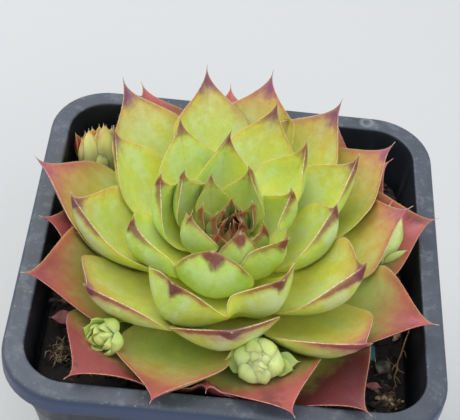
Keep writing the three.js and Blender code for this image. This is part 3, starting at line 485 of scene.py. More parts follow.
def add_teeth(shape, blade, rng, origin, look, fold, move, length, spacing, first=0.35):
    """Fine teeth along both margins of a leaf."""
    stations = []
    total, s = blade.arc[-1], blade.length_to(first)
    while s < total - TOOTHLESS_TIP:
        stations.append(s)
        s += spacing * rng.uniform(0.8, 1.3)
    stations = blade.share_at(stations)
    for side in (-1, 1):
        shares = stations + rng.uniform(-0.004, 0.004, len(stations))
        w = blade.width(shares)[:, None]
        centre, along, across, face = blade.at(shares)
        root = centre + across * side * (w - TOOTH_ROOT) + face * fold * w
        root = root + read_off(move, shares, np.array([float(side)]))[:, 0]
        for foot, on, out, up, t, wide in zip(root, along, across, face, shares, w[:, 0]):
            size = length * rng.uniform(0.6, 1.2) * min(1, 0.35 + 1.2 * (1 - t) ** 0.5)
            lean = side * out + (0.45 + rng.uniform(-0.2, 0.3)) * on
            lean = unit(lean + rng.uniform(-0.25, 0.35) * up)
            thick = TOOTH_SLIMNESS * size
            corners = [foot - on * thick, foot + on * thick, foot + up * thick,
                       foot + lean * (size + TOOTH_ROOT)]
            if side < 0:
                corners[0], corners[1] = corners[1], corners[0]
            shape.add(
                np.array(corners) + origin,
                [[0, 1, 2], [0, 3, 1], [1, 3, 2], [2, 3, 0]],
                leaf_tip=max(total - blade.length_to(t), 0),
                leaf_edge=0,
                leaf_back=0.5,
                leaf_t=t,
                leaf_run=np.tile([side * wide, 0, 0], (4, 1)),
                **look,
            )


# ---- Node materials --------------------------------------------------------------------


def colour(code):
    """A linear colour from an sRGB code such as 0x80a040."""
    parts = [((code >> shift) & 255) / 255 for shift in (16, 8, 0)]
    return [p / 12.92 if p <= 0.04045 else ((p + 0.055) / 1.055) ** 2.4 for p in parts] + [1]


class Value:
    """An output of a shader node, which adds and multiplies like a number."""

    def __init__(self, nodes, socket):
        self.nodes, self.socket = nodes, socket

    def __add__(self, other):
        return self.nodes.math("ADD", self, other)

    def __sub__(self, other):
        return self.nodes.math("SUBTRACT", self, other)

    def __rsub__(self, other):
        return self.nodes.math("SUBTRACT", other, self)

    def __mul__(self, other):
        return self.nodes.math("MULTIPLY", self, other)

    __radd__, __rmul__ = __add__, __mul__


class Nodes:
    """Short names for the shader nodes that the materials use."""

    def __init__(self, name):
        self.material = bpy.data.materials.new(name)
        self.material.use_nodes = True
        self.tree = self.material.node_tree
        self.tree.nodes.clear()

    def node(self, kind, inputs, output=0, **settings):
        """An output of a new node, whose inputs are given by their name or number."""
        made = self.tree.nodes.new("ShaderNode" + kind)
        for key, setting in settings.items():
            setattr(made, key, setting)
        for key, value in inputs.items():
            if isinstance(value, Value):
                self.tree.links.new(value.socket, made.inputs[key])
            else:
                made.inputs[key].default_value = value
        return Value(self, made.outputs[output])

    def math(self, operation, *values, clamp=False):
        return self.node("Math", dict(enumerate(values)), operation=operation, use_clamp=clamp)

    def most(self, first, second):
        return self.math("MAXIMUM", first, second)

    def step(self, value, first, last, start=0.0, end=1.0):
        """Goes smoothly from start to end while value goes from first to last."""
        names = ("Value", "From Min", "From Max", "To Min", "To Max")
        inputs = dict(zip(names, (value, first, last, start, end)))
        return self.node("MapRange", inputs, interpolation_type="SMOOTHSTEP")

    def mix(self, factor, low, high):
        inputs = {0: factor, 6: low, 7: high}
        return self.node("Mix", inputs, 2, data_type="RGBA", clamp_factor=True)

    def ramp(self, value, stops):
        """A colour or a level from 0 to 1 for a value. stops is {place: colour code or level}."""
        if not isinstance(stops, dict):
            stops = {0: stops, 1: stops}
        made = self.node("ValToRGB", {0: value})
        elements = made.socket.node.color_ramp.elements
        places = list(stops)
        elements[0].position, elements[1].position = places[0], places[-1]
        for place in places[1:-1]:
            elements.new(place)
        for element, what in zip(elements, stops.values()):
            element.color = colour(what) if what > 1 else [what, what, what, 1]
        return made

    def field(self, name, output="Fac"):
        return self.node("Attribute", {}, output, attribute_name=name)

    def vector(self, operation, first, second, output=0):
        return self.node("VectorMath", {0: first, 1: second}, output, operation=operation)

    def axis(self, vector, index):
        return self.node("SeparateXYZ", {0: vector}, index)

    def noise(self, vector, scale=1.0, detail=2.0, roughness=0.5, stretch=None):
        if stretch:
            vector = self.vector("MULTIPLY", vector, stretch)
        inputs = {"Vector": vector, "Scale": scale, "Detail": detail, "Roughness": roughness}
        return self.node("TexNoise", inputs)

    def place(self):
        return self.node("TexCoord", {}, "Object")

    def finish(self, base, roughness, height=None, strength=0.0, depth=0.0, **fixed):
        """The material. height raises its surface by up to depth metres."""
        inputs = {"Base Color": base, "Roughness": roughness}
        inputs.update({name.replace("_", " "): value for name, value in fixed.items()})
        if height is not None:
            bump = {"Strength": strength, "Distance": depth, "Height": height}
            inputs["Normal"] = self.node("Bump", bump)
        shader = self.node("BsdfPrincipled", inputs)
        output = self.tree.nodes.new("ShaderNodeOutputMaterial")
        self.tree.links.new(shader.socket, output.inputs[0])
        return self.material


BACK_GREEN = colour(0xA4CC68)
WINE = colour(0x68303A)
DRY_SPINE = colour(0xD9C4B4)
DUST = colour(0xDCD2CE)
FLESH = dict(Subsurface_Weight=0.45, Subsurface_Radius=(1.0, 0.9, 0.35), Subsurface_Scale=0.0026)


def leaf_material(name, look):
    """The skin of leaves. Lengths in it are millimetres on a leaf of the mother rosette."""
    n = Nodes(name)
    age, back, t, red = (n.field("leaf_" + f) for f in ("age", "back", "t", "red"))
    tip, edge = (n.field("leaf_" + f) * (1 / look["scale"]) for f in ("tip", "edge"))
    run = n.field("leaf_run", "Vector")
    across = n.math("ABSOLUTE", n.axis(run, 0))
    blotch = n.noise(run, 1, 3, stretch=(0.22, 0.1, 1))
    cloud = n.noise(run, stretch=(0.12, 0.07, 1.7))
    fleck = n.noise(run, 1, 3, 0.6, stretch=(0.55, 0.5, 1))
    streak = n.noise(run, stretch=(1.5, 0.14, 1))
    grain = n.noise(run, 1.5, 3, stretch=(2.6, 1.8, 1))
    uneven = blotch - 0.5
    ragged = uneven + (fleck - 0.5) * 0.9

    def by_age(part):
        return n.ramp(age, look[part])

    # Green of the blade, with a painted glow near its base: a paler, brighter green that stands in
    # for light shining through the leaf and lifts the shade between the leaves. For the youngest
    # leaves of the heart this colour is darker instead.
    base = n.mix(n.step(t + uneven * 0.4, 0.6, 0.22), by_age("base"), by_age("painted_glow"))
    side = n.step(cloud, 0.38, 0.66) * n.ramp(age, {0.1: 0.1, 0.3: 0.6, 0.75: 0.6})
    base = n.mix(side, base, by_age("side"))

    # The backs are a fresher green, with pale bluish bloom in patches.
    base = n.mix(back * by_age("back_green"), base, BACK_GREEN)
    bloom = (
        n.step(edge, 0.4, 2.6)
        * n.step(tip, 2.0, 5.5)
        * n.step(tip, 30.0, 14.0)
        * (0.45 + back * 0.35)
        * n.step(blotch + (fleck - 0.5) * 0.5, 0.4, 0.62)
        * n.ramp(age, {0: 0.4, 0.3: 0.75, 0.6: 0.9, 0.95: 0.35})
    )
    base = n.mix(bloom, base, by_age("bloom"))

    # Tan, then mauve or crimson, towards the tip and the margins of the older leaves.
    amount = n.math("ADD", by_age("blush_amount"), red, clamp=True)
    far, rim = tip + ragged * 6.0, edge + ragged * 3.0
    from_tip = n.step(far, 5.0 + amount * 16.0, amount * 6.0)
    from_edge = n.step(rim, 0.8 + amount * 5.5, 0.0) * n.step(tip, 21.0, 11.0, 0.2, 1.0)
    tan = n.most(from_tip, from_edge * 0.85) * amount * (1.0 - back * 0.85)
    base = n.mix(tan, base, by_age("blush"))
    reds = by_age("red_amount") + red
    point = n.step(far, 4.0 + reds * 7.0, reds * 2.5)
    border = n.step(rim, 0.5 + reds * 3.2, 0.0) * n.step(tip, 16.0, 7.0)
    flush = n.most(point, border * 0.85) * reds
    base = n.mix(flush, base, by_age("red"))
    wine = flush * n.step(cloud + (fleck - 0.5) * 0.5, 0.45, 0.6) * n.step(age, 0.82, 0.92)
    base = n.mix(wine * 0.5, base, WINE)

    # Dark tip, which runs on along the margins and further on the back.
    length = n.mix(back, by_age("patch"), by_age("back_patch")) * 10.0
    soft = 2.2 - back
    reach = tip + across * (0.25 + back * 0.5) + (streak - 0.5) * 0.8 + ragged * 4.0
    patch = n.step(reach, length + soft, length - soft)
    spread = by_age("band")
    band = n.step(tip, 14.0, 3.0) * (0.12 + back * (1.1 + red * 3.0)) * spread
    frayed = edge + ragged * 1.3
    ending = by_age("trail_end") * 20.0
    along = n.step(tip, ending, ending * 0.4)
    trail = n.step(frayed, band + 0.5, band - 0.3) * along * (0.3 + back * 0.45)
    fringe = n.step(frayed, band + 1.5, band) * along * spread * 0.6
    line = n.step(edge, 0.3, 0.12) * n.step(tip, 26.0, 6.0, 0.15, 0.6)
    base = n.mix(n.most(fringe, line), base, by_age("line"))
    core = by_age("core")
    purple = n.mix(back * 0.75, by_age("tip"), core)
    dark = n.most(patch, trail * look["trail"]) * look["patch_strength"]
    base = n.mix(dark, base, purple)
    vein = n.step(across, 0.4, 0.1) * n.step(tip, 13.0, 5.0) * (1.0 - back)
    base = n.mix(vein * look["vein"], base, core)

    # The thin pale margin, the dry spine and specks of dust.
    beads = n.step(n.noise(run, detail=1, stretch=(0.2, 3.2, 1)), 0.42, 0.56, 0.35, 1.0)
    margin = n.step(edge, 0.11, 0.04) * n.step(tip, 1.5, 5.0, 0.05, 0.9) * beads
    base = n.mix(margin * look["margin_strength"], base, by_age("margin"))
    spine = n.step(tip, 0.9, 0.3, 0.0, 0.35) * n.step(across, 0.5, 0.25)
    base = n.mix(spine, base, DRY_SPINE)
    dusty = n.most(n.step(tip, 12.0, 3.0, 0.05, 0.5), n.step(age, 0.84, 0.92, 0.0, 0.35))
    specks = n.step(n.noise(run, stretch=(5, 4, 1)), 0.69, 0.75)
    base = n.mix(specks * dusty, base, DUST)
    value = n.step(grain, 0.2, 0.8, 0.94, 1.04) + n.step(fleck, 0.3, 0.7, -0.03, 0.04) - back * 0.01
    base = n.node("HueSaturation", {"Value": value, "Color": base})

    roughness = 0.4 + bloom * 0.16 + grain * 0.1
    height = streak * 0.25 + grain * 0.3 + blotch * 0.9
    return n.finish(base, roughness, height, 0.35, 0.00035, **FLESH)


# Colours and levels over the age of a leaf.
MOTHER_LOOK = dict(
    scale=1.0,
    base={0: 0x667A48, 0.1: 0x8C9E52, 0.2: 0xB2C25A, 0.3: 0xB0C458, 0.45: 0xB8CC60, 0.6: 0xBECC5C,
          0.72: 0xC0C45A, 0.82: 0xACB850, 0.9: 0x9AAA50, 1: 0x8A9A4C},
    # Near the base of the blade: a painted glow, brighter than the leaf's own green, in place of
    # light shining through the leaf; darker for the youngest leaves.
    painted_glow={0: 0x50643A, 0.15: 0xB0C058, 0.35: 0xECEC74, 0.6: 0xF4F07C, 0.85: 0xD0DA64, 1: 0xA6C05C},
    side={0.15: 0xB8C244, 0.35: 0xCCD440, 0.7: 0xD0CC44, 0.9: 0xB8AC48},
    bloom={0: 0x9CB088, 0.15: 0xAEC08A, 0.35: 0xC0D4A4, 0.7: 0xC4D0A8, 0.95: 0xA8B488},
    blush_amount={0.32: 0.0, 0.48: 0.3, 0.6: 0.55, 0.75: 0.8, 0.9: 0.95, 1: 1.0},
    blush={0.45: 0xC2AC54, 0.65: 0xC2984E, 0.8: 0xBA864C, 0.9: 0xA8684A, 0.95: 0x9C5C44,
           1: 0x744034},
    red_amount={0.55: 0.0, 0.66: 0.6, 0.8: 0.8, 0.9: 0.9, 1: 0.9},
    red={0.6: 0xA8647A, 0.75: 0xAC5C6C, 0.88: 0xB05654, 0.945: 0xA65252, 0.975: 0x883E40,
         1: 0x68282E},
    patch={0: 0.28, 0.12: 0.32, 0.25: 0.36, 0.5: 0.42, 0.62: 0.62, 0.72: 0.68, 0.8: 0.4, 0.9: 0.16},
    back_patch={0: 0.3, 0.12: 0.34, 0.25: 0.38, 0.5: 0.44, 0.66: 0.58, 0.78: 0.5, 0.9: 0.16},
    band={0.08: 0.3, 0.3: 0.6, 0.5: 0.85, 0.66: 1.0, 0.8: 0.75, 0.9: 0.2},
    trail_end={0.2: 0.42, 0.5: 0.52, 0.62: 0.8, 0.78: 0.85, 0.9: 0.5},
    patch_strength=0.95,
    trail=1.0,
    vein=0.12,
    tip={0: 0x8A3628, 0.12: 0x84322A, 0.25: 0x80303A, 0.45: 0x7A3850, 0.7: 0x804868, 0.85: 0x9C4C64,
         0.95: 0xA03C48},
    core={0: 0x7A2C20, 0.2: 0x6C2422, 0.35: 0x601E22, 0.7: 0x662430, 0.95: 0x8C3A48},
    line={0: 0x96603A, 0.3: 0xAA8040, 0.6: 0xA8683E, 0.85: 0x9C4C40},
    margin={0.05: 0xA87C50, 0.15: 0xBCA468, 0.3: 0xD2C884, 0.7: 0xD8BC94, 0.9: 0xD0948A},
    margin_strength=1.0,
    back_green={0.1: 0.1, 0.3: 0.24, 0.7: 0.3, 0.9: 0.1},
)
# The chicks' colours near the base of their leaves are a painted glow as well.
CHICK_LOOK = dict(
    MOTHER_LOOK,
    scale=0.35,
    base={0: 0xD0DC80, 0.5: 0xCCD880, 0.8: 0xC4D47C, 1: 0xA8C06C},
    painted_glow={0: 0xD4E070, 1: 0xACC864},
    side={0: 0xE0E080, 1: 0xCCD874},
    bloom={0: 0xDCE8A0, 1: 0xBCD88C},
    blush_amount=0.0,
    red_amount=0.0,
    patch={0: 0.0, 0.6: 0.03, 1: 0.08},
    back_patch={0: 0.0, 0.6: 0.03, 1: 0.08},
    band=0.0,
    trail_end=0.1,
    patch_strength=0.4,
    trail=0.2,
    vein=0.0,
    tip={0: 0xC9B070, 0.6: 0xB98A60, 1: 0xA86458},
    core={0: 0xA89058, 1: 0x9C6A50},
    line={0: 0xB4BC60, 1: 0xA4AC5C},
    margin={0: 0xD4D890, 1: 0xC8CC88},
    margin_strength=0.9,
    back_green=0.0,
)
GREEN_CHICK_LOOK = dict(
    CHICK_LOOK,
    base={0: 0xC4D070, 1: 0xA0B85C},
    painted_glow={0: 0xC8D468, 1: 0xA8C060},
    side={0: 0xCCD06C, 1: 0xA8BC5C},
    bloom={0: 0xD0DC98, 1: 0xACC480},
)
# The chick at the back left sits in the pot's shade. Its near-white greens are painted light, far
# brighter than its own colour, which lift that shade; its pink and orange tips are its own colours,
# brightened the same way.
BACK_CHICK_LOOK_WITH_PAINTED_LIGHT = dict(
    CHICK_LOOK,
    base={0: 0xF8F890, 0.5: 0xF8F890, 1: 0xF0EC84},
    painted_glow={0: 0xF4FC90, 1: 0xF0F88C},
    side={0: 0xFCF08C, 1: 0xF8E888},
    blush_amount={0: 0.72, 1: 0.76},
    blush={0: 0xFFB48C, 1: 0xFAA88C},
    red_amount={0: 0.5, 1: 0.55},
    red={0: 0xF09084, 0.9: 0xE47C70, 1: 0xA84440},
    patch={0: 0.1, 1: 0.15},
    back_patch={0: 0.1, 1: 0.15},
    tip={0: 0xF0A498, 1: 0xD87C74},
    core={0: 0xE89C8C, 1: 0xB8504C},
)

# ---- Rosettes --------------------------------------------------------------------------

mother_material = leaf_material("leaf_skin", MOTHER_LOOK)
rng = np.random.default_rng(41)
OUTER_TEETH = dict(length=0.36, spacing=0.65)
HEART_TEETH = dict(length=0.5, spacing=0.42, first=0.5)
CHICK_TEETH = dict(length=0.2, spacing=0.35, first=0.5)
mother_undersides = []

heart = Shape()
for leaf in BUD_LEAVES + HEART_LEAVES:
    add_leaf(heart, leaf, rng, mother_undersides, rows=30, sides=24, teeth=HEART_TEETH)
heart.build("heart_look", mother_material, "heart", "heart")

for ring, leaves, teeth in (
    ("inner", INNER_LEAVES, HEART_TEETH),
    ("middle", MIDDLE_LEAVES, OUTER_TEETH),
    ("outer", OUTER_LEAVES, OUTER_TEETH),
    ("lowest", LOWEST_LEAVES, OUTER_TEETH),
):
    for index, leaf in enumerate(leaves):
        shape = Shape()
        add_leaf(shape, leaf, rng, mother_undersides, teeth=teeth)
        node = f"{ring}_leaf_{index + 1}"
        shape.build(node + "_look", mother_material, f"{ring}_leaf", node)

CHICK_BASE = dict(thickness=1.1, margin=0.12, spine=0.05)
CLOSED = dict(CHICK_BASE, age=0.7, start_slope=5, tip_slope=148, pointing=0.7, start_handle=0.7,
              tip_handle=0.5, fold=0.5)
BULGED = dict(CLOSED, start_handle=0.85, tip_handle=0.6)
NESTED = dict(CLOSED, age=0.5, start_handle=0.42, tip_handle=0.4)
INMOST = dict(CLOSED, age=0.2, start_handle=0.26, tip_handle=0.28)
CUPPED = dict(CHICK_BASE, age=0.6, start_slope=5, tip_slope=100, pointing=1)
UPRIGHT = dict(CHICK_BASE, age=0.8, start_slope=10, tip_slope=86, pointing=1.2)
OPEN = dict(CHICK_BASE, age=0.9, start_slope=5, tip_slope=55, pointing=1.2)
FLAT = dict(CHICK_BASE, age=0.95, start_slope=5, tip_slope=18, pointing=1.5)


# Each chick's place is over the rim. Its leaves run from the oldest to the youngest, each with
# its kind, azimuth, reach, rise, half width and the traits that are its own.
CHICKS = [
    dict(name="front_left", place=(-24.6, -29.6, 0.8), lean_to=228, lean=50, core=(1.6, 2.8),
         neck=1.2, look="green", leaves=[
        (BULGED, 340, 3.1, 2.2, 2.6, dict(tip_slope=110)),
        (BULGED, 45, 3.1, 2.4, 2.6, dict(tip_slope=110)),
        (OPEN, 149, 4.5, 2, 1.8),
        (OPEN, 198, 4.1, 1.5, 1.6),
        (OPEN, 112, 4.1, 2.3, 1.9, dict(tip_slope=70)),
        (OPEN, 257, 3.4, 0.9, 1.9),
        (OPEN, 295, 3.4, 1.9, 2.1, dict(tip_slope=85)),
        (CUPPED, 175, 2.9, 2.4, 1.6, dict(tip_slope=85)),
        (CUPPED, 130, 2.5, 2.6, 1.6),
        (CUPPED, 230, 2.5, 2.5, 1.6),
        (CUPPED, 320, 2.2, 2.9, 1.7),
        (CUPPED, 60, 2, 3.1, 1.7),
        (CUPPED, 190, 1.7, 3.2, 1.2),
        (CUPPED, 10, 1.1, 3.6, 1.1),
        (CUPPED, 110, 0.8, 3.7, 1),
    ]),
    dict(name="front", place=(6.3, -32.3, 1.6), lean_to=268, lean=36, core=(2.6, 4.9), neck=2.4,
         look="plain", leaves=[
        (FLAT, 183, 6.8, 0.6, 2.6),
        (FLAT, 350, 7.2, 1.8, 1.9),
        (FLAT, 4, 8.3, 1.2, 1.9, dict(pointing=1.7)),
        (CLOSED, 230, 1.6, 4.2, 3.1),
        (CLOSED, 285, 1.5, 4.4, 3.2),
        (BULGED, 350, 1.9, 4.7, 3.2),
        (CLOSED, 50, 1.6, 4.6, 3.1),
        (CLOSED, 105, 1.4, 4.6, 3.1),
        (BULGED, 165, 1.7, 4.7, 3.1),
        (NESTED, 255, 0.5, 5, 2.4),
        (NESTED, 20, 0.4, 5.2, 2.4),
        (NESTED, 140, 0.3, 5.4, 2.3),
        (INMOST, 300, -0.1, 5.5, 1.6),
        (INMOST, 80, -0.2, 5.7, 1.5),
    ]),
    dict(name="right", place=(31.4, 2.4, -4.6), lean_to=50, lean=32, core=(1.6, 6), neck=1,
         look="plain", leaves=[
        (UPRIGHT, 300, 0.8, 12.1, 3.1, dict(tip_slope=92, pointing=0.9)),
        (UPRIGHT, 18, 3.6, 8.9, 2.4, dict(pointing=0.9)),
        (UPRIGHT, 121, 4.1, 13.5, 1.8, dict(pointing=1.6)),
        (UPRIGHT, 208, 3.2, 7.4, 2.3),
        (UPRIGHT, 250, 3.4, 5.2, 2.2),
        (OPEN, 299, 6.5, 7.4, 2.4, dict(tip_slope=45)),
        (OPEN, 13, 5.3, 7.9, 1.8, dict(tip_slope=70)),
        (UPRIGHT, 145, 3.3, 10.6, 2),
        (CUPPED, 60, 1, 9.8, 1.6),
        (CUPPED, 180, 0.8, 9.8, 1.4),
    ]),
    dict(name="back_left", place=(-33, 28.4, -8.8), lean_to=135, lean=8, core=(1.8, 6), neck=0,
         look="back", leaves=[
        (UPRIGHT, 172, 5.3, 8.7, 1.8, dict(tip_slope=80, look=1, red=1.5)),
        (UPRIGHT, 213, 3.9, 9.7, 2, dict(red=0.3)),
        (UPRIGHT, 140, 4.5, 7.6, 1.8),
        (UPRIGHT, 243, 3, 12.6, 2.3),
        (UPRIGHT, 286, 2.1, 11.8, 2.5),
        (UPRIGHT, 316, 2.9, 13.7, 2.6),
        (UPRIGHT, 338, 3.9, 11.7, 2.2),
        (UPRIGHT, 117, 3.9, 8.5, 1.8),
        (UPRIGHT, 92, 3.9, 8.9, 1.8),
        (UPRIGHT, 66, 3.9, 9.1, 1.8),
        (UPRIGHT, 34, 3.9, 9.9, 1.8),
        (CUPPED, 177, 2.2, 9.2, 1.6, dict(tip_slope=92)),
        (CUPPED, 312, 1.5, 12, 1.6, dict(tip_slope=94)),
    ]),
]
CHICK_TUCK_DEPTH = 0.8
CHICK_CLEARANCE = -0.12


def add_bud(shape, radius, height):
    """The closed middle that the leaves of a chick stand round."""
    sides, rows = 24, 12
    angle = np.linspace(0, 2 * np.pi, sides, endpoint=False)
    rise = np.linspace(0.06, 0.94, rows)[:, None] * np.pi
    wide = radius * np.sin(rise)
    z = height / 2 * (1 - np.cos(rise)) + 0 * angle
    points = np.stack([wide * np.cos(angle), wide * np.sin(angle), z], -1).reshape(-1, 3)
    points = np.concatenate([points, [[0, 0, 0]], [[0, 0, height]]])
    run = np.stack([points[:, 0], points[:, 2], np.full(len(points), 33.0)], 1)
    shape.add(points, loft_faces(rows, sides), leaf_age=0.3, leaf_red=0, leaf_tip=6, leaf_edge=0.3,
              leaf_back=1, leaf_t=0.6, leaf_run=run)


chick_materials = {
    "plain": leaf_material("chick_skin", CHICK_LOOK),
    "green": leaf_material("green_chick_skin", GREEN_CHICK_LOOK),
    "back": leaf_material("back_chick_skin_with_painted_light", BACK_CHICK_LOOK_WITH_PAINTED_LIGHT),
}

for chick in CHICKS:
    shape, undersides = Shape(), []
    add_bud(shape, *chick["core"])
    for kind, azimuth, reach, rise, half_width, *own in reversed(chick["leaves"]):
        leaf = leaf_at(kind["age"], azimuth, reach, rise, half_width, {**kind, **dict(*own)})
        start = (0.3 + 0.8 * leaf["age"], 0.4 - 1.5 * leaf["age"])
        add_leaf(shape, leaf, rng, undersides, 26, 24, start, np.zeros(3),
                 CHICK_TUCK_DEPTH, CHICK_CLEARANCE, CHICK_TEETH)
    x, y, z = chick["place"]
    away_x, away_y = heading(chick["lean_to"])
    lean = Matrix.Rotation(math.radians(chick["lean"]), 4, Vector((-away_y, away_x, 0)))
    shape.place(Matrix.Translation((x, y, POT_HEIGHT + z)) @ lean)
    node = "chick_" + chick["name"]
    shape.build(node + "_look", chick_materials[chick["look"]], "chick", node)

# ---- Pot -------------------------------------------------------------------------------

CORNER_STEPS = 12
BEND_STEPS = 7
FLOOR_INSET = np.array([6, 2])  # where the floor's own loop lies inside the foot


def rounded_square(half, corner, z):
    quarter = np.arange(4)[:, None] * (np.pi / 2)
    angle = quarter + np.linspace(0, np.pi / 2, CORNER_STEPS + 1)[None, :]
    inset = (half - corner) * math.sqrt(2)
    x = inset * np.cos(quarter + np.pi / 4) + corner * np.cos(angle)
    y = inset * np.sin(quarter + np.pi / 4) + corner * np.sin(angle)
    return np.stack([x.ravel(), y.ravel(), np.full(x.size, float(z))], 1)


def softened(profile):
    """Half width, corner and height of a profile whose bends are rounded by their own radius."""
    profile = np.array(profile, float)
    bends, profile = profile[:, 3], profile[:, :3]
    made = [profile[0]]
    for before, here, after, bend in zip(profile, profile[1:], profile[2:], bends[1:]):
        cut = min(bend, *(0.4 * np.linalg.norm(side - here) for side in (before, after)))
        back, on = cut * unit(before - here), cut * unit(after - here)
        made.append(here + 1.2 * back)
        for s in np.linspace(0, 1, BEND_STEPS):
            made.append((1 - s) ** 2 * (here + back) + 2 * (1 - s) * s * here + s * s * (here + on))
        made.append(here + 1.2 * on)
    made.append(profile[-1])
    return made


def inner_wall(z):
    share = (z - POT_FLOOR) / (SHOULDER_Z - POT_FLOOR)
    floor_half = POT_FOOT_HALF - POT_WALL
    half = floor_half + share * (POT_OPENING_HALF - 2 * POT_SHOULDER_STEP - floor_half)
    corner = FOOT_CORNER - POT_WALL + share * (OPENING_CORNER - FOOT_CORNER)
    return half, corner


def pot_profile():
    """Half width, corner radius, height and bend, up the outside and down the inside."""
    foot, rim = np.array([POT_FOOT_HALF, FOOT_CORNER]), np.array([POT_RIM_HALF, RIM_CORNER])
    opening = np.array([POT_OPENING_HALF, OPENING_CORNER])
    shoulder, low = opening - [POT_SHOULDER_STEP, 0], np.array(inner_wall(SHOULDER_Z))
    under_rim, skirt_z = POT_HEIGHT - POT_WALL, POT_HEIGHT - POT_SKIRT
    rows = [
        (foot - FLOOR_INSET, 0, 0),
        (foot, 0, 0.8),
        (low + POT_WALL, SHOULDER_Z - POT_WALL, 0.5),
        (shoulder + POT_WALL, SHOULDER_Z, 0.5),
        (opening + POT_WALL, under_rim, 0.4),
        (rim - POT_WALL, under_rim, 0.4),
        (rim - POT_WALL, skirt_z, 0.2),
        (rim, skirt_z, 0.3),
        (rim, POT_HEIGHT, RIM_ROUNDING),
        (opening, POT_HEIGHT, MOUTH_ROUNDING),
        (shoulder, SHOULDER_Z, 0.6),
        (low, SHOULDER_Z - POT_WALL, 0.4),
        (foot - POT_WALL, POT_FLOOR, 0.8),
        (foot - FLOOR_INSET, POT_FLOOR, 0),
    ]
    return softened([(*sizes, z, bend) for sizes, z, bend in rows])


# Heights in metres over which the plastic's look changes, and a dried drop on the back rim.
SKIRT_FADE = (0.0745, 0.0765)
RIM_FADE = (0.074, 0.078)
WALL_FADE = (0.079, 0.07)
WATER_MARK = (0.0297, 0.0428, 0.08)
WATER_MARK_RADIUS = 0.0013


def plastic():
    n = Nodes("moulded_plastic")
    place = n.place()
    normal = n.node("NewGeometry", {}, "Normal")
    height, up = n.axis(place, 2), n.axis(normal, 2)
    level = n.vector("MULTIPLY", place, (1, 1, 0))
    outward = n.vector("DOT_PRODUCT", normal, level, "Value")
    cloud = n.noise(place, 70, 4, 0.6)
    smear = n.noise(place, 240, 4, 0.7)
    speck = n.noise(place, 1700, 2, 0.5)
    flow = n.noise(place, 420, 3, stretch=(1, 1, 0.05))
    away = n.vector("DISTANCE", place, WATER_MARK, "Value")
    ring = n.math("ABSOLUTE", away - WATER_MARK_RADIUS)
    # The outward face of the rim's outer lip gets a painted bluish reflection of the sky.
    painted_skirt_reflection = n.step(height, *SKIRT_FADE) * n.step(up, 0.9, 0.2) * n.step(outward, 0.0, 0.01)
    rim = n.step(up, 0.3, 0.95) * n.step(height, *RIM_FADE)
    wall = n.step(height, *WALL_FADE)
    base = n.mix(n.step(cloud, 0.35, 0.7), colour(0x1B1E23), colour(0x262B33))
    for amount, tint in (
        (painted_skirt_reflection * 0.8, 0x2D3C5C),
        (rim * n.step(cloud, 0.3, 0.7, 0.6, 1.0), 0x414852),
        (rim * n.step(smear, 0.5, 0.66, 0.0, 0.28), 0x84868A),
        (rim * n.step(smear, 0.48, 0.34, 0.0, 0.3), 0x32383F),
        (rim * n.step(speck, 0.66, 0.72, 0.0, 0.4), 0x9CA0A4),
        (n.step(ring, 0.0008, 0.0) * 0.3, 0x9A9C9E),
        (wall * n.step(flow, 0.52, 0.72, 0.0, 0.45), 0x42464B),
    ):
        base = n.mix(amount, base, colour(tint))
    roughness = 0.32 + rim * 0.14 + cloud * 0.12 + n.step(smear, 0.5, 0.7) * 0.12
    return n.finish(base, roughness, flow * 0.4 + speck * 0.25 + smear * 0.3, 0.15, 0.0002)


pot_shape = Shape().add_loops([rounded_square(*point) for point in pot_profile()])
pot = pot_shape.build("pot_look", plastic(), "pot", "pot")

drill = Shape()
ring = np.linspace(0, 2 * np.pi, 32, endpoint=False)
for index in range(DRAIN_COUNT):
    x, y = DRAIN_RING * heading((index + 0.5) / DRAIN_COUNT * 360)
    x, y = x + DRAIN_RADIUS * np.cos(ring), y + DRAIN_RADIUS * np.sin(ring)
    drill.add_loops([np.stack([x, y, np.full(32, z)], 1) for z in (-3.0, 4 * POT_FLOOR)])
cutter = drill.build("drain_cutter", pot.data.materials[0])
cut = pot.modifiers.new("holes", "BOOLEAN")
cut.object, cut.operation, cut.solver = cutter, "DIFFERENCE", "EXACT"
drilled = pot.evaluated_get(bpy.context.evaluated_depsgraph_get())
drilled = bpy.data.meshes.new_from_object(drilled)
pot.modifiers.clear()
pot.data = drilled
bpy.data.objects.remove(cutter)
pot.data.set_sharp_from_angle(angle=math.radians(38))

# ---- Soil, stem and litter -------------------------------------------------------------

SOIL_SWELL = 0.5
LUMPS = ((0.28, 3.1, 0.55), (1.1, 8.7, 0.28))  # scale, layer of the noise, and height
LUMP_DROP = 0.25
SOIL_RINGS = 60
EDGE_SINK, EDGE_SHARE = 0.7, 0.07
LITTER_REACH = 37.5
SOIL_HALF = 38
SOIL_CORNER, CORNER_ROOM = 30, 8
STEM_ROOM = 16
CRUMBS, FIBRES, TANGLE_FIBRES, HEAP_CRUMBS = 900, 170, 90, 60
PALE_CRUMBS = 0.2
TANGLE, TANGLE_SPREAD = np.array([-34.6, -25.5]), 1.5
CRUMB_HEAP, HEAP_SPREAD = np.array([34.5, -29.2]), 1.6


def soil_height(x, y):
    return SOIL_TOP + SOIL_SWELL * np.cos(0.35 * x) * np.cos(0.41 * y)


def rough_height(x, y):
    height = float(soil_height(x, y))
    for scale, layer, rise in LUMPS:
        height += rise * noise.fractal(Vector((x, y, layer)) * scale, 1.0, 2.0, 3)
    return height - LUMP_DROP


def earth():
    n = Nodes("potting_soil")
    place = n.place()
    lumps = n.noise(place, 420, 5, 0.65)
    fibre = n.noise(place, 900, 3, stretch=(1, 4, 2))
    value = lumps + n.field("tone") + fibre * 0.15
    browns = {0.35: 0x0C0908, 0.6: 0x1D1612, 0.75: 0x3A2B20, 0.9: 0x705640, 1.0: 0xB8A284}
    roughness = n.step(lumps, 0.3, 0.7, 0.72, 0.95)
    return n.finish(n.ramp(value, browns), roughness, lumps + fibre * 0.5, 0.8, 0.0008)


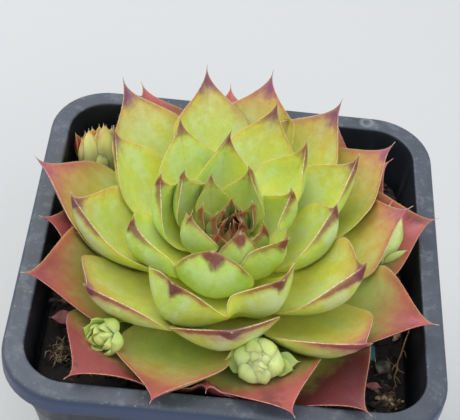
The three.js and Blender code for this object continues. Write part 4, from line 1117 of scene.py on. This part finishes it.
soil_material = earth()
loops = []
for z in (POT_FLOOR + GAP, 30, SHOULDER_Z - POT_WALL - 1):
    half, corner = inner_wall(z)
    loops.append(rounded_square(half - GAP, corner - GAP, z))
half, corner = POT_OPENING_HALF - 2 * POT_SHOULDER_STEP - GAP, OPENING_CORNER - GAP
for share in np.linspace(1, 0.01, SOIL_RINGS):
    loop = rounded_square(share * half, share * corner, 0)
    sink = EDGE_SINK * max(0, (share - 1 + EDGE_SHARE) / EDGE_SHARE)
    loop[:, 2] = [rough_height(x, y) - sink for x, y in loop[:, :2]]
    loops.append(loop)
soil_shape = Shape().add_loops(loops, tone=0.0)

form = bmesh.new()
bmesh.ops.create_icosphere(form, subdivisions=2, radius=1)
crumb_points = np.array([v.co for v in form.verts])
crumb_faces = [[v.index for v in face.verts] for face in form.faces]
form.free()


def add_crumb(shape, x, y, size, rng, tone, flat=0.7, long=1.0):
    jitter = 1 + rng.uniform(-0.28, 0.22, len(crumb_points))[:, None]
    stretch = np.array([long, rng.uniform(0.7, 1), flat * rng.uniform(0.7, 1)])
    turn = Matrix.Rotation(rng.uniform(0, 6.28), 3, "Z")
    turn = turn @ Matrix.Rotation(rng.uniform(-0.5, 0.5), 3, "X")
    points = crumb_points * jitter * stretch * size @ np.array(turn).T
    shape.add(points + [x, y, rough_height(x, y) + 0.25 * size], crumb_faces, tone=tone)


def open_place(rng):
    """A place on the soil, clear of the stem and of the pot's corners."""
    while True:
        x, y = rng.uniform(-SOIL_HALF, SOIL_HALF, 2)
        corner = math.hypot(*(max(abs(side) - SOIL_CORNER, 0) for side in (x, y)))
        if math.hypot(x - AXIS[0], y - AXIS[1]) > STEM_ROOM and corner < CORNER_ROOM:
            return x, y


def smooth_route(points, count):
    """count points on a curve through the given ones."""
    points = [np.array(p, float) for p in points]
    ends = [2 * points[0] - points[1], *points, 2 * points[-1] - points[-2]]
    made = []
    spans = len(points) - 1
    for s in np.linspace(0, spans, count):
        i = min(int(s), spans - 1)
        f = s - i
        a, b, c, d = ends[i : i + 4]
        bend, twist = 2 * a - 5 * b + 4 * c - d, 3 * b - a - 3 * c + d
        made.append(0.5 * (2 * b + (c - a) * f + bend * f**2 + twist * f**3))
    return np.array(made)


def add_tube(shape, route, radii, sides=12, **fields):
    """A round tube along a route. Its radius goes through radii at even steps."""
    route = np.asarray(route, float)
    radii = np.interp(np.linspace(0, 1, len(route)), np.linspace(0, 1, len(radii)), radii)
    ahead = unit(np.gradient(route, axis=0))
    angle = np.linspace(0, 2 * np.pi, sides, endpoint=False)[:, None]
    side = np.cross(ahead[0], [0.31, 0.2, 0.93])  # no route sets out in this direction
    loops = []
    for spot, direction, radius in zip(route, ahead, radii):
        side = unit(side - direction * (side @ direction))
        other = np.cross(direction, side)
        loops.append(spot + radius * (np.cos(angle) * side + np.sin(angle) * other))
    shape.add_loops(loops, (route[0], route[-1]), **fields)


def add_fibre(shape, x, y, rng, reach, lift, tone):
    """A thin bent fibre that lies on the soil."""
    angle, length = rng.uniform(0, 2 * math.pi), rng.uniform(0.3, 1) * reach
    bend = rng.uniform(-0.5, 0.5)
    points = []
    for share in (-0.5, -0.15, 0.2, 0.5):
        along, aside = share * length, bend * length * (0.25 - share * share)
        px = x + along * math.cos(angle) - aside * math.sin(angle)
        py = y + along * math.sin(angle) + aside * math.cos(angle)
        px, py = np.clip([px, py], -LITTER_REACH, LITTER_REACH)
        points.append((px, py, rough_height(px, py) + rng.uniform(0.1, lift)))
    thick = rng.uniform(0.06, 0.15)
    add_tube(shape, smooth_route(points, 10), [0.4 * thick, thick, 0.4 * thick], 6, tone=tone)


scatter = np.random.default_rng(7)
for _ in range(CRUMBS):
    x, y = open_place(scatter)
    size = 0.25 + 0.85 * scatter.random() ** 2.5
    pale = scatter.random() >= 1 - PALE_CRUMBS
    tone = scatter.uniform(0.2, 0.42) if pale else scatter.uniform(-0.15, 0.2)
    add_crumb(soil_shape, x, y, size, scatter, tone, flat=0.6, long=scatter.uniform(1, 1.9))
for _ in range(FIBRES):
    add_fibre(soil_shape, *open_place(scatter), scatter, 5, 0.6, scatter.uniform(0.1, 0.4))
for _ in range(TANGLE_FIBRES):
    x, y = TANGLE + scatter.normal(0, TANGLE_SPREAD, 2)
    add_fibre(soil_shape, x, y, scatter, 3.6, 1.6, scatter.uniform(0.2, 0.45))
for _ in range(HEAP_CRUMBS):
    x, y = CRUMB_HEAP + scatter.normal(0, HEAP_SPREAD, 2)
    size, tone = scatter.uniform(0.25, 0.6), scatter.uniform(0.15, 0.4)
    add_crumb(soil_shape, x, y, size, scatter, tone, long=1.6)
soil_shape.build("soil_look", soil_material, "soil", "soil")


def fibrous(name, stops, rough=0.75):
    n = Nodes(name)
    place = n.place()
    lines = n.noise(place, 900, 3, stretch=(1, 0.25, 1))
    patches = n.noise(place, 300, 4, 0.6)
    value = lines * 0.45 + patches * 0.55
    roughness = n.step(patches, 0.3, 0.7, rough - 0.1, rough)
    return n.finish(n.ramp(value, stops), roughness, value, 0.6, 0.0004)


stem_material = fibrous("stem_skin", {0.35: 0x6F6A38, 0.5: 0x97995A, 0.65: 0xB5B37A}, 0.6)
stem = Shape()
foot, head = POT_HEIGHT + CROWN - STEM_DROP, POT_HEIGHT + CROWN
heights = [*(SOIL_TOP - depth for depth in (9, 5, 1)), foot - 1.2, foot, foot + 3, foot + 6,
           head, head + 0.3]
radii = [2, 3, 4, 6.7, 7.7, 5.8, 3.8, 1.4, 0.3]
add_tube(stem, smooth_route([(AXIS[0], AXIS[1], z) for z in heights], 60), radii, 32)
stem.build("stem_look", stem_material, "stem", "stem")

RUNNER_AGE = 0.84  # runners leave the stem between its leaves of about this age
RUNNER_SAG = 0.6
RUNNER_RADII = [0.8, 0.65, 0.7, 0.6, 0.8]
runner_material = fibrous("runner_skin", {0.35: 0x8E9A50, 0.5: 0xA9B868, 0.65: 0xC09080}, 0.5)
for chick in CHICKS:
    x, y, z = chick["place"]
    away = (STEM_TOP_RADIUS + STEM_FLARE * RUNNER_AGE + GAP) * unit(np.array([x, y]) - AXIS[:2])
    start = AXIS + [*away, CROWN - STEM_DROP * RUNNER_AGE]
    end = np.array([x, y, POT_HEIGHT + z - chick["neck"]])
    middle = (start + end) / 2
    middle[2] = min(start[2], end[2]) - RUNNER_SAG
    shape = Shape()
    add_tube(shape, smooth_route([start, middle, end], 40), RUNNER_RADII, 14)
    node = "runner_" + chick["name"]
    shape.build(node + "_look", runner_material, "runner", node)

WITHERED = dict(thickness=0.5, fold=0.3)
withered = Shape()
for x, y, z, leaf in (
    (29.6, -26.6, -11.3, leaf_at(0.7, -8, 3.8, 0.6, 0.8, WITHERED, start_slope=20, tip_slope=-20)),
    (29.9, -26.3, -11.3, leaf_at(0.7, -28, 3, 0.4, 0.7, WITHERED, start_slope=10, tip_slope=-10)),
    (-31, -17.2, -11.2, leaf_at(0.7, 184, 7, 1.3, 1.8, WITHERED, start_slope=20, tip_slope=0)),
):
    add_leaf(withered, leaf, scatter, [], 24, 20, (0, 0), np.array([x, y, POT_HEIGHT + z]))
withered_material = fibrous("withered_skin", {0.35: 0x7C4444, 0.5: 0xA86C68, 0.65: 0xC89C90})
withered.build("withered_tips", withered_material, "lowest_leaf")

# The way of the dry rootlet and of its side roots, over the soil, and their radii.
ROOTLET_LIFT = 0.65
ROOTLET_ROUTES = [
    ([(39.2, -13.4, 3.2), (38.4, -15.6, 2), (37.7, -18, 0.6), (37.1, -19.6, 0.3),
      (36.9, -21.4, 0.1), (36.3, -23.4, 0.1), (36.6, -26, 0)],
     [0.12, 0.16, 0.2, 0.17, 0.19, 0.12, 0.08]),
    ([(37.9, -17.2, 1), (38.5, -17.5, 0.9), (38.9, -18.6, 0.4)], [0.12, 0.1, 0.05]),
    ([(37.1, -19.8, 0.3), (36.2, -20.8, 0.2), (35.6, -22.1, 0), (34.6, -22.6, 0)],
     [0.14, 0.12, 0.09, 0.04]),
    ([(36.9, -21.2, 0.1), (37.9, -21.9, 0.2), (38.6, -22, 0.1)], [0.13, 0.1, 0.05]),
    ([(36.5, -23, 0.1), (37.3, -24.2, 0.1), (37.5, -25, 0)], [0.11, 0.08, 0.04]),
    ([(36.5, -25.4, 0), (36, -26.4, 0), (36.1, -27, 0)], [0.08, 0.07, 0.04]),
]
rootlet = Shape()
for route, radii in ROOTLET_ROUTES:
    route = [(x, y, float(soil_height(x, y)) + ROOTLET_LIFT + over) for x, y, over in route]
    add_tube(rootlet, smooth_route(route, 8 * len(route)), radii, 8)
rootlet_material = fibrous("root_fibre", {0.35: 0x6E4E30, 0.5: 0xA07E54, 0.65: 0xC8AA80})
rootlet.build("dry_rootlet_look", rootlet_material, "rootlet", "dry_rootlet")

# How wide and how high a chip is at each loop round it.
CHIP_LOOPS = ((0.35, 0.0), (0.7, 0.03), (0.96, 0.02), (1, 0.2), (1.02, 0.6), (0.97, 0.95),
              (0.7, 1.05), (0.35, 0.95))
CHIP_SIDES = 40


def add_chip(shape, outline, thickness, tip, turn, place, rng):
    outline = np.array([*outline, outline[0]], float)
    around = np.linspace(0, len(outline) - 1, CHIP_SIDES + 1)[:-1]
    ring = np.stack([np.interp(around, range(len(outline)), side) for side in outline.T], 1)
    ring += rng.uniform(-0.07, 0.07, ring.shape)
    loops = []
    for share, z in CHIP_LOOPS:
        wobble = rng.uniform(-0.06, 0.06, CHIP_SIDES) * thickness
        loops.append(np.concatenate([ring * share, (z * thickness + wobble)[:, None]], 1))
    turned = Matrix.Rotation(math.radians(turn), 3, "Z")
    turned = turned @ Matrix.Rotation(math.radians(tip), 3, "Y")
    loops = np.array(loops) @ np.array(turned).T
    shape.add_loops(loops + [*place, float(soil_height(*place)) + GAP - loops[..., 2].min()])


for node, slot, outline, thickness, tip, turn, place, stops in (
    ("bark_chip", "bark", [(-1.8, -1.5), (1.4, -1.7), (2.1, 0.4), (0.6, 1.8), (-1.7, 1.2)],
     0.9, 8, 25, (33.7, -21.3), {0.35: 0x1E1814, 0.5: 0x3A3029, 0.65: 0x7A7068}),
    ("green_chip", "chip", [(-0.8, -2.1), (0.6, -1.9), (1, 1.3), (0.2, 2.2), (-0.9, 1.5)],
     0.7, -6, 8, (31.4, -17.8), {0.35: 0x2A5552, 0.5: 0x3F716E, 0.65: 0x6A9A94}),
):
    shape = Shape()
    add_chip(shape, outline, thickness, tip, turn, place, scatter)
    shape.build(node + "_look", fibrous(node + "_skin", stops), slot, node)

# ---- Floor, light and camera -----------------------------------------------------------

FLOOR_HALF = 3
LIGHT_TARGET = Vector((0, 0, 0.08))
LIGHT_SIZE = 0.7
CAMERA_PLACE = (-0.007504, -0.179588, 0.28099)
CAMERA_ELEVATION, CAMERA_YAW, CAMERA_ROLL = (math.radians(a) for a in (46.74, -1.78, 6.95))
CAMERA_LENS = 96.88

corners = [(x * FLOOR_HALF, y * FLOOR_HALF, 0) for x, y in ((-1, -1), (1, -1), (1, 1), (-1, 1))]
floor_mesh = bpy.data.meshes.new("floor")
floor_mesh.from_pydata(corners, [], [[0, 1, 2, 3]])
floor_mesh.materials.append(Nodes("pale_floor").finish(colour(0xBCBCBA), 0.8))
floor = bpy.data.objects.new("floor", floor_mesh)
bpy.context.scene.collection.objects.link(floor)

world = bpy.data.worlds.new("studio")
bpy.context.scene.world = world
world.use_nodes = True
background = world.node_tree.nodes["Background"]
background.inputs[0].default_value = (0.86, 0.92, 1, 1)
background.inputs[1].default_value = 1.0


def area_light(name, place, power, tint):
    light = bpy.data.lights.new(name, "AREA")
    light.shape, light.size, light.energy, light.color = "DISK", LIGHT_SIZE, power, tint
    lamp = bpy.data.objects.new(name, light)
    lamp.location = place
    lamp.rotation_euler = (LIGHT_TARGET - Vector(place)).to_track_quat("-Z", "Y").to_euler()
    bpy.context.scene.collection.objects.link(lamp)


area_light("key", (-0.25, 0.2, 0.62), 3.1, (1, 0.98, 0.94))
area_light("fill", (0.3, -0.45, 0.45), 1.8, (0.94, 0.97, 1))

scene = bpy.context.scene
scene.view_settings.view_transform = "Standard"
camera_data = bpy.data.cameras.new("camera")
camera_data.lens, camera_data.sensor_width = CAMERA_LENS, 36
camera_data.sensor_fit = "HORIZONTAL"
camera_data.clip_start = 0.01
camera = bpy.data.objects.new("camera", camera_data)
level = math.cos(CAMERA_ELEVATION)
backward = Vector((math.sin(CAMERA_YAW) * level, -math.cos(CAMERA_YAW) * level,
                   math.sin(CAMERA_ELEVATION)))
right = Vector((0, 0, 1)).cross(backward).normalized()
above = backward.cross(right)
cos, sin = math.cos(CAMERA_ROLL), math.sin(CAMERA_ROLL)
rows = (cos * right + sin * above, cos * above - sin * right, backward)
camera.matrix_world = Matrix.Translation(CAMERA_PLACE) @ Matrix(rows).transposed().to_4x4()
scene.collection.objects.link(camera)
scene.camera = camera
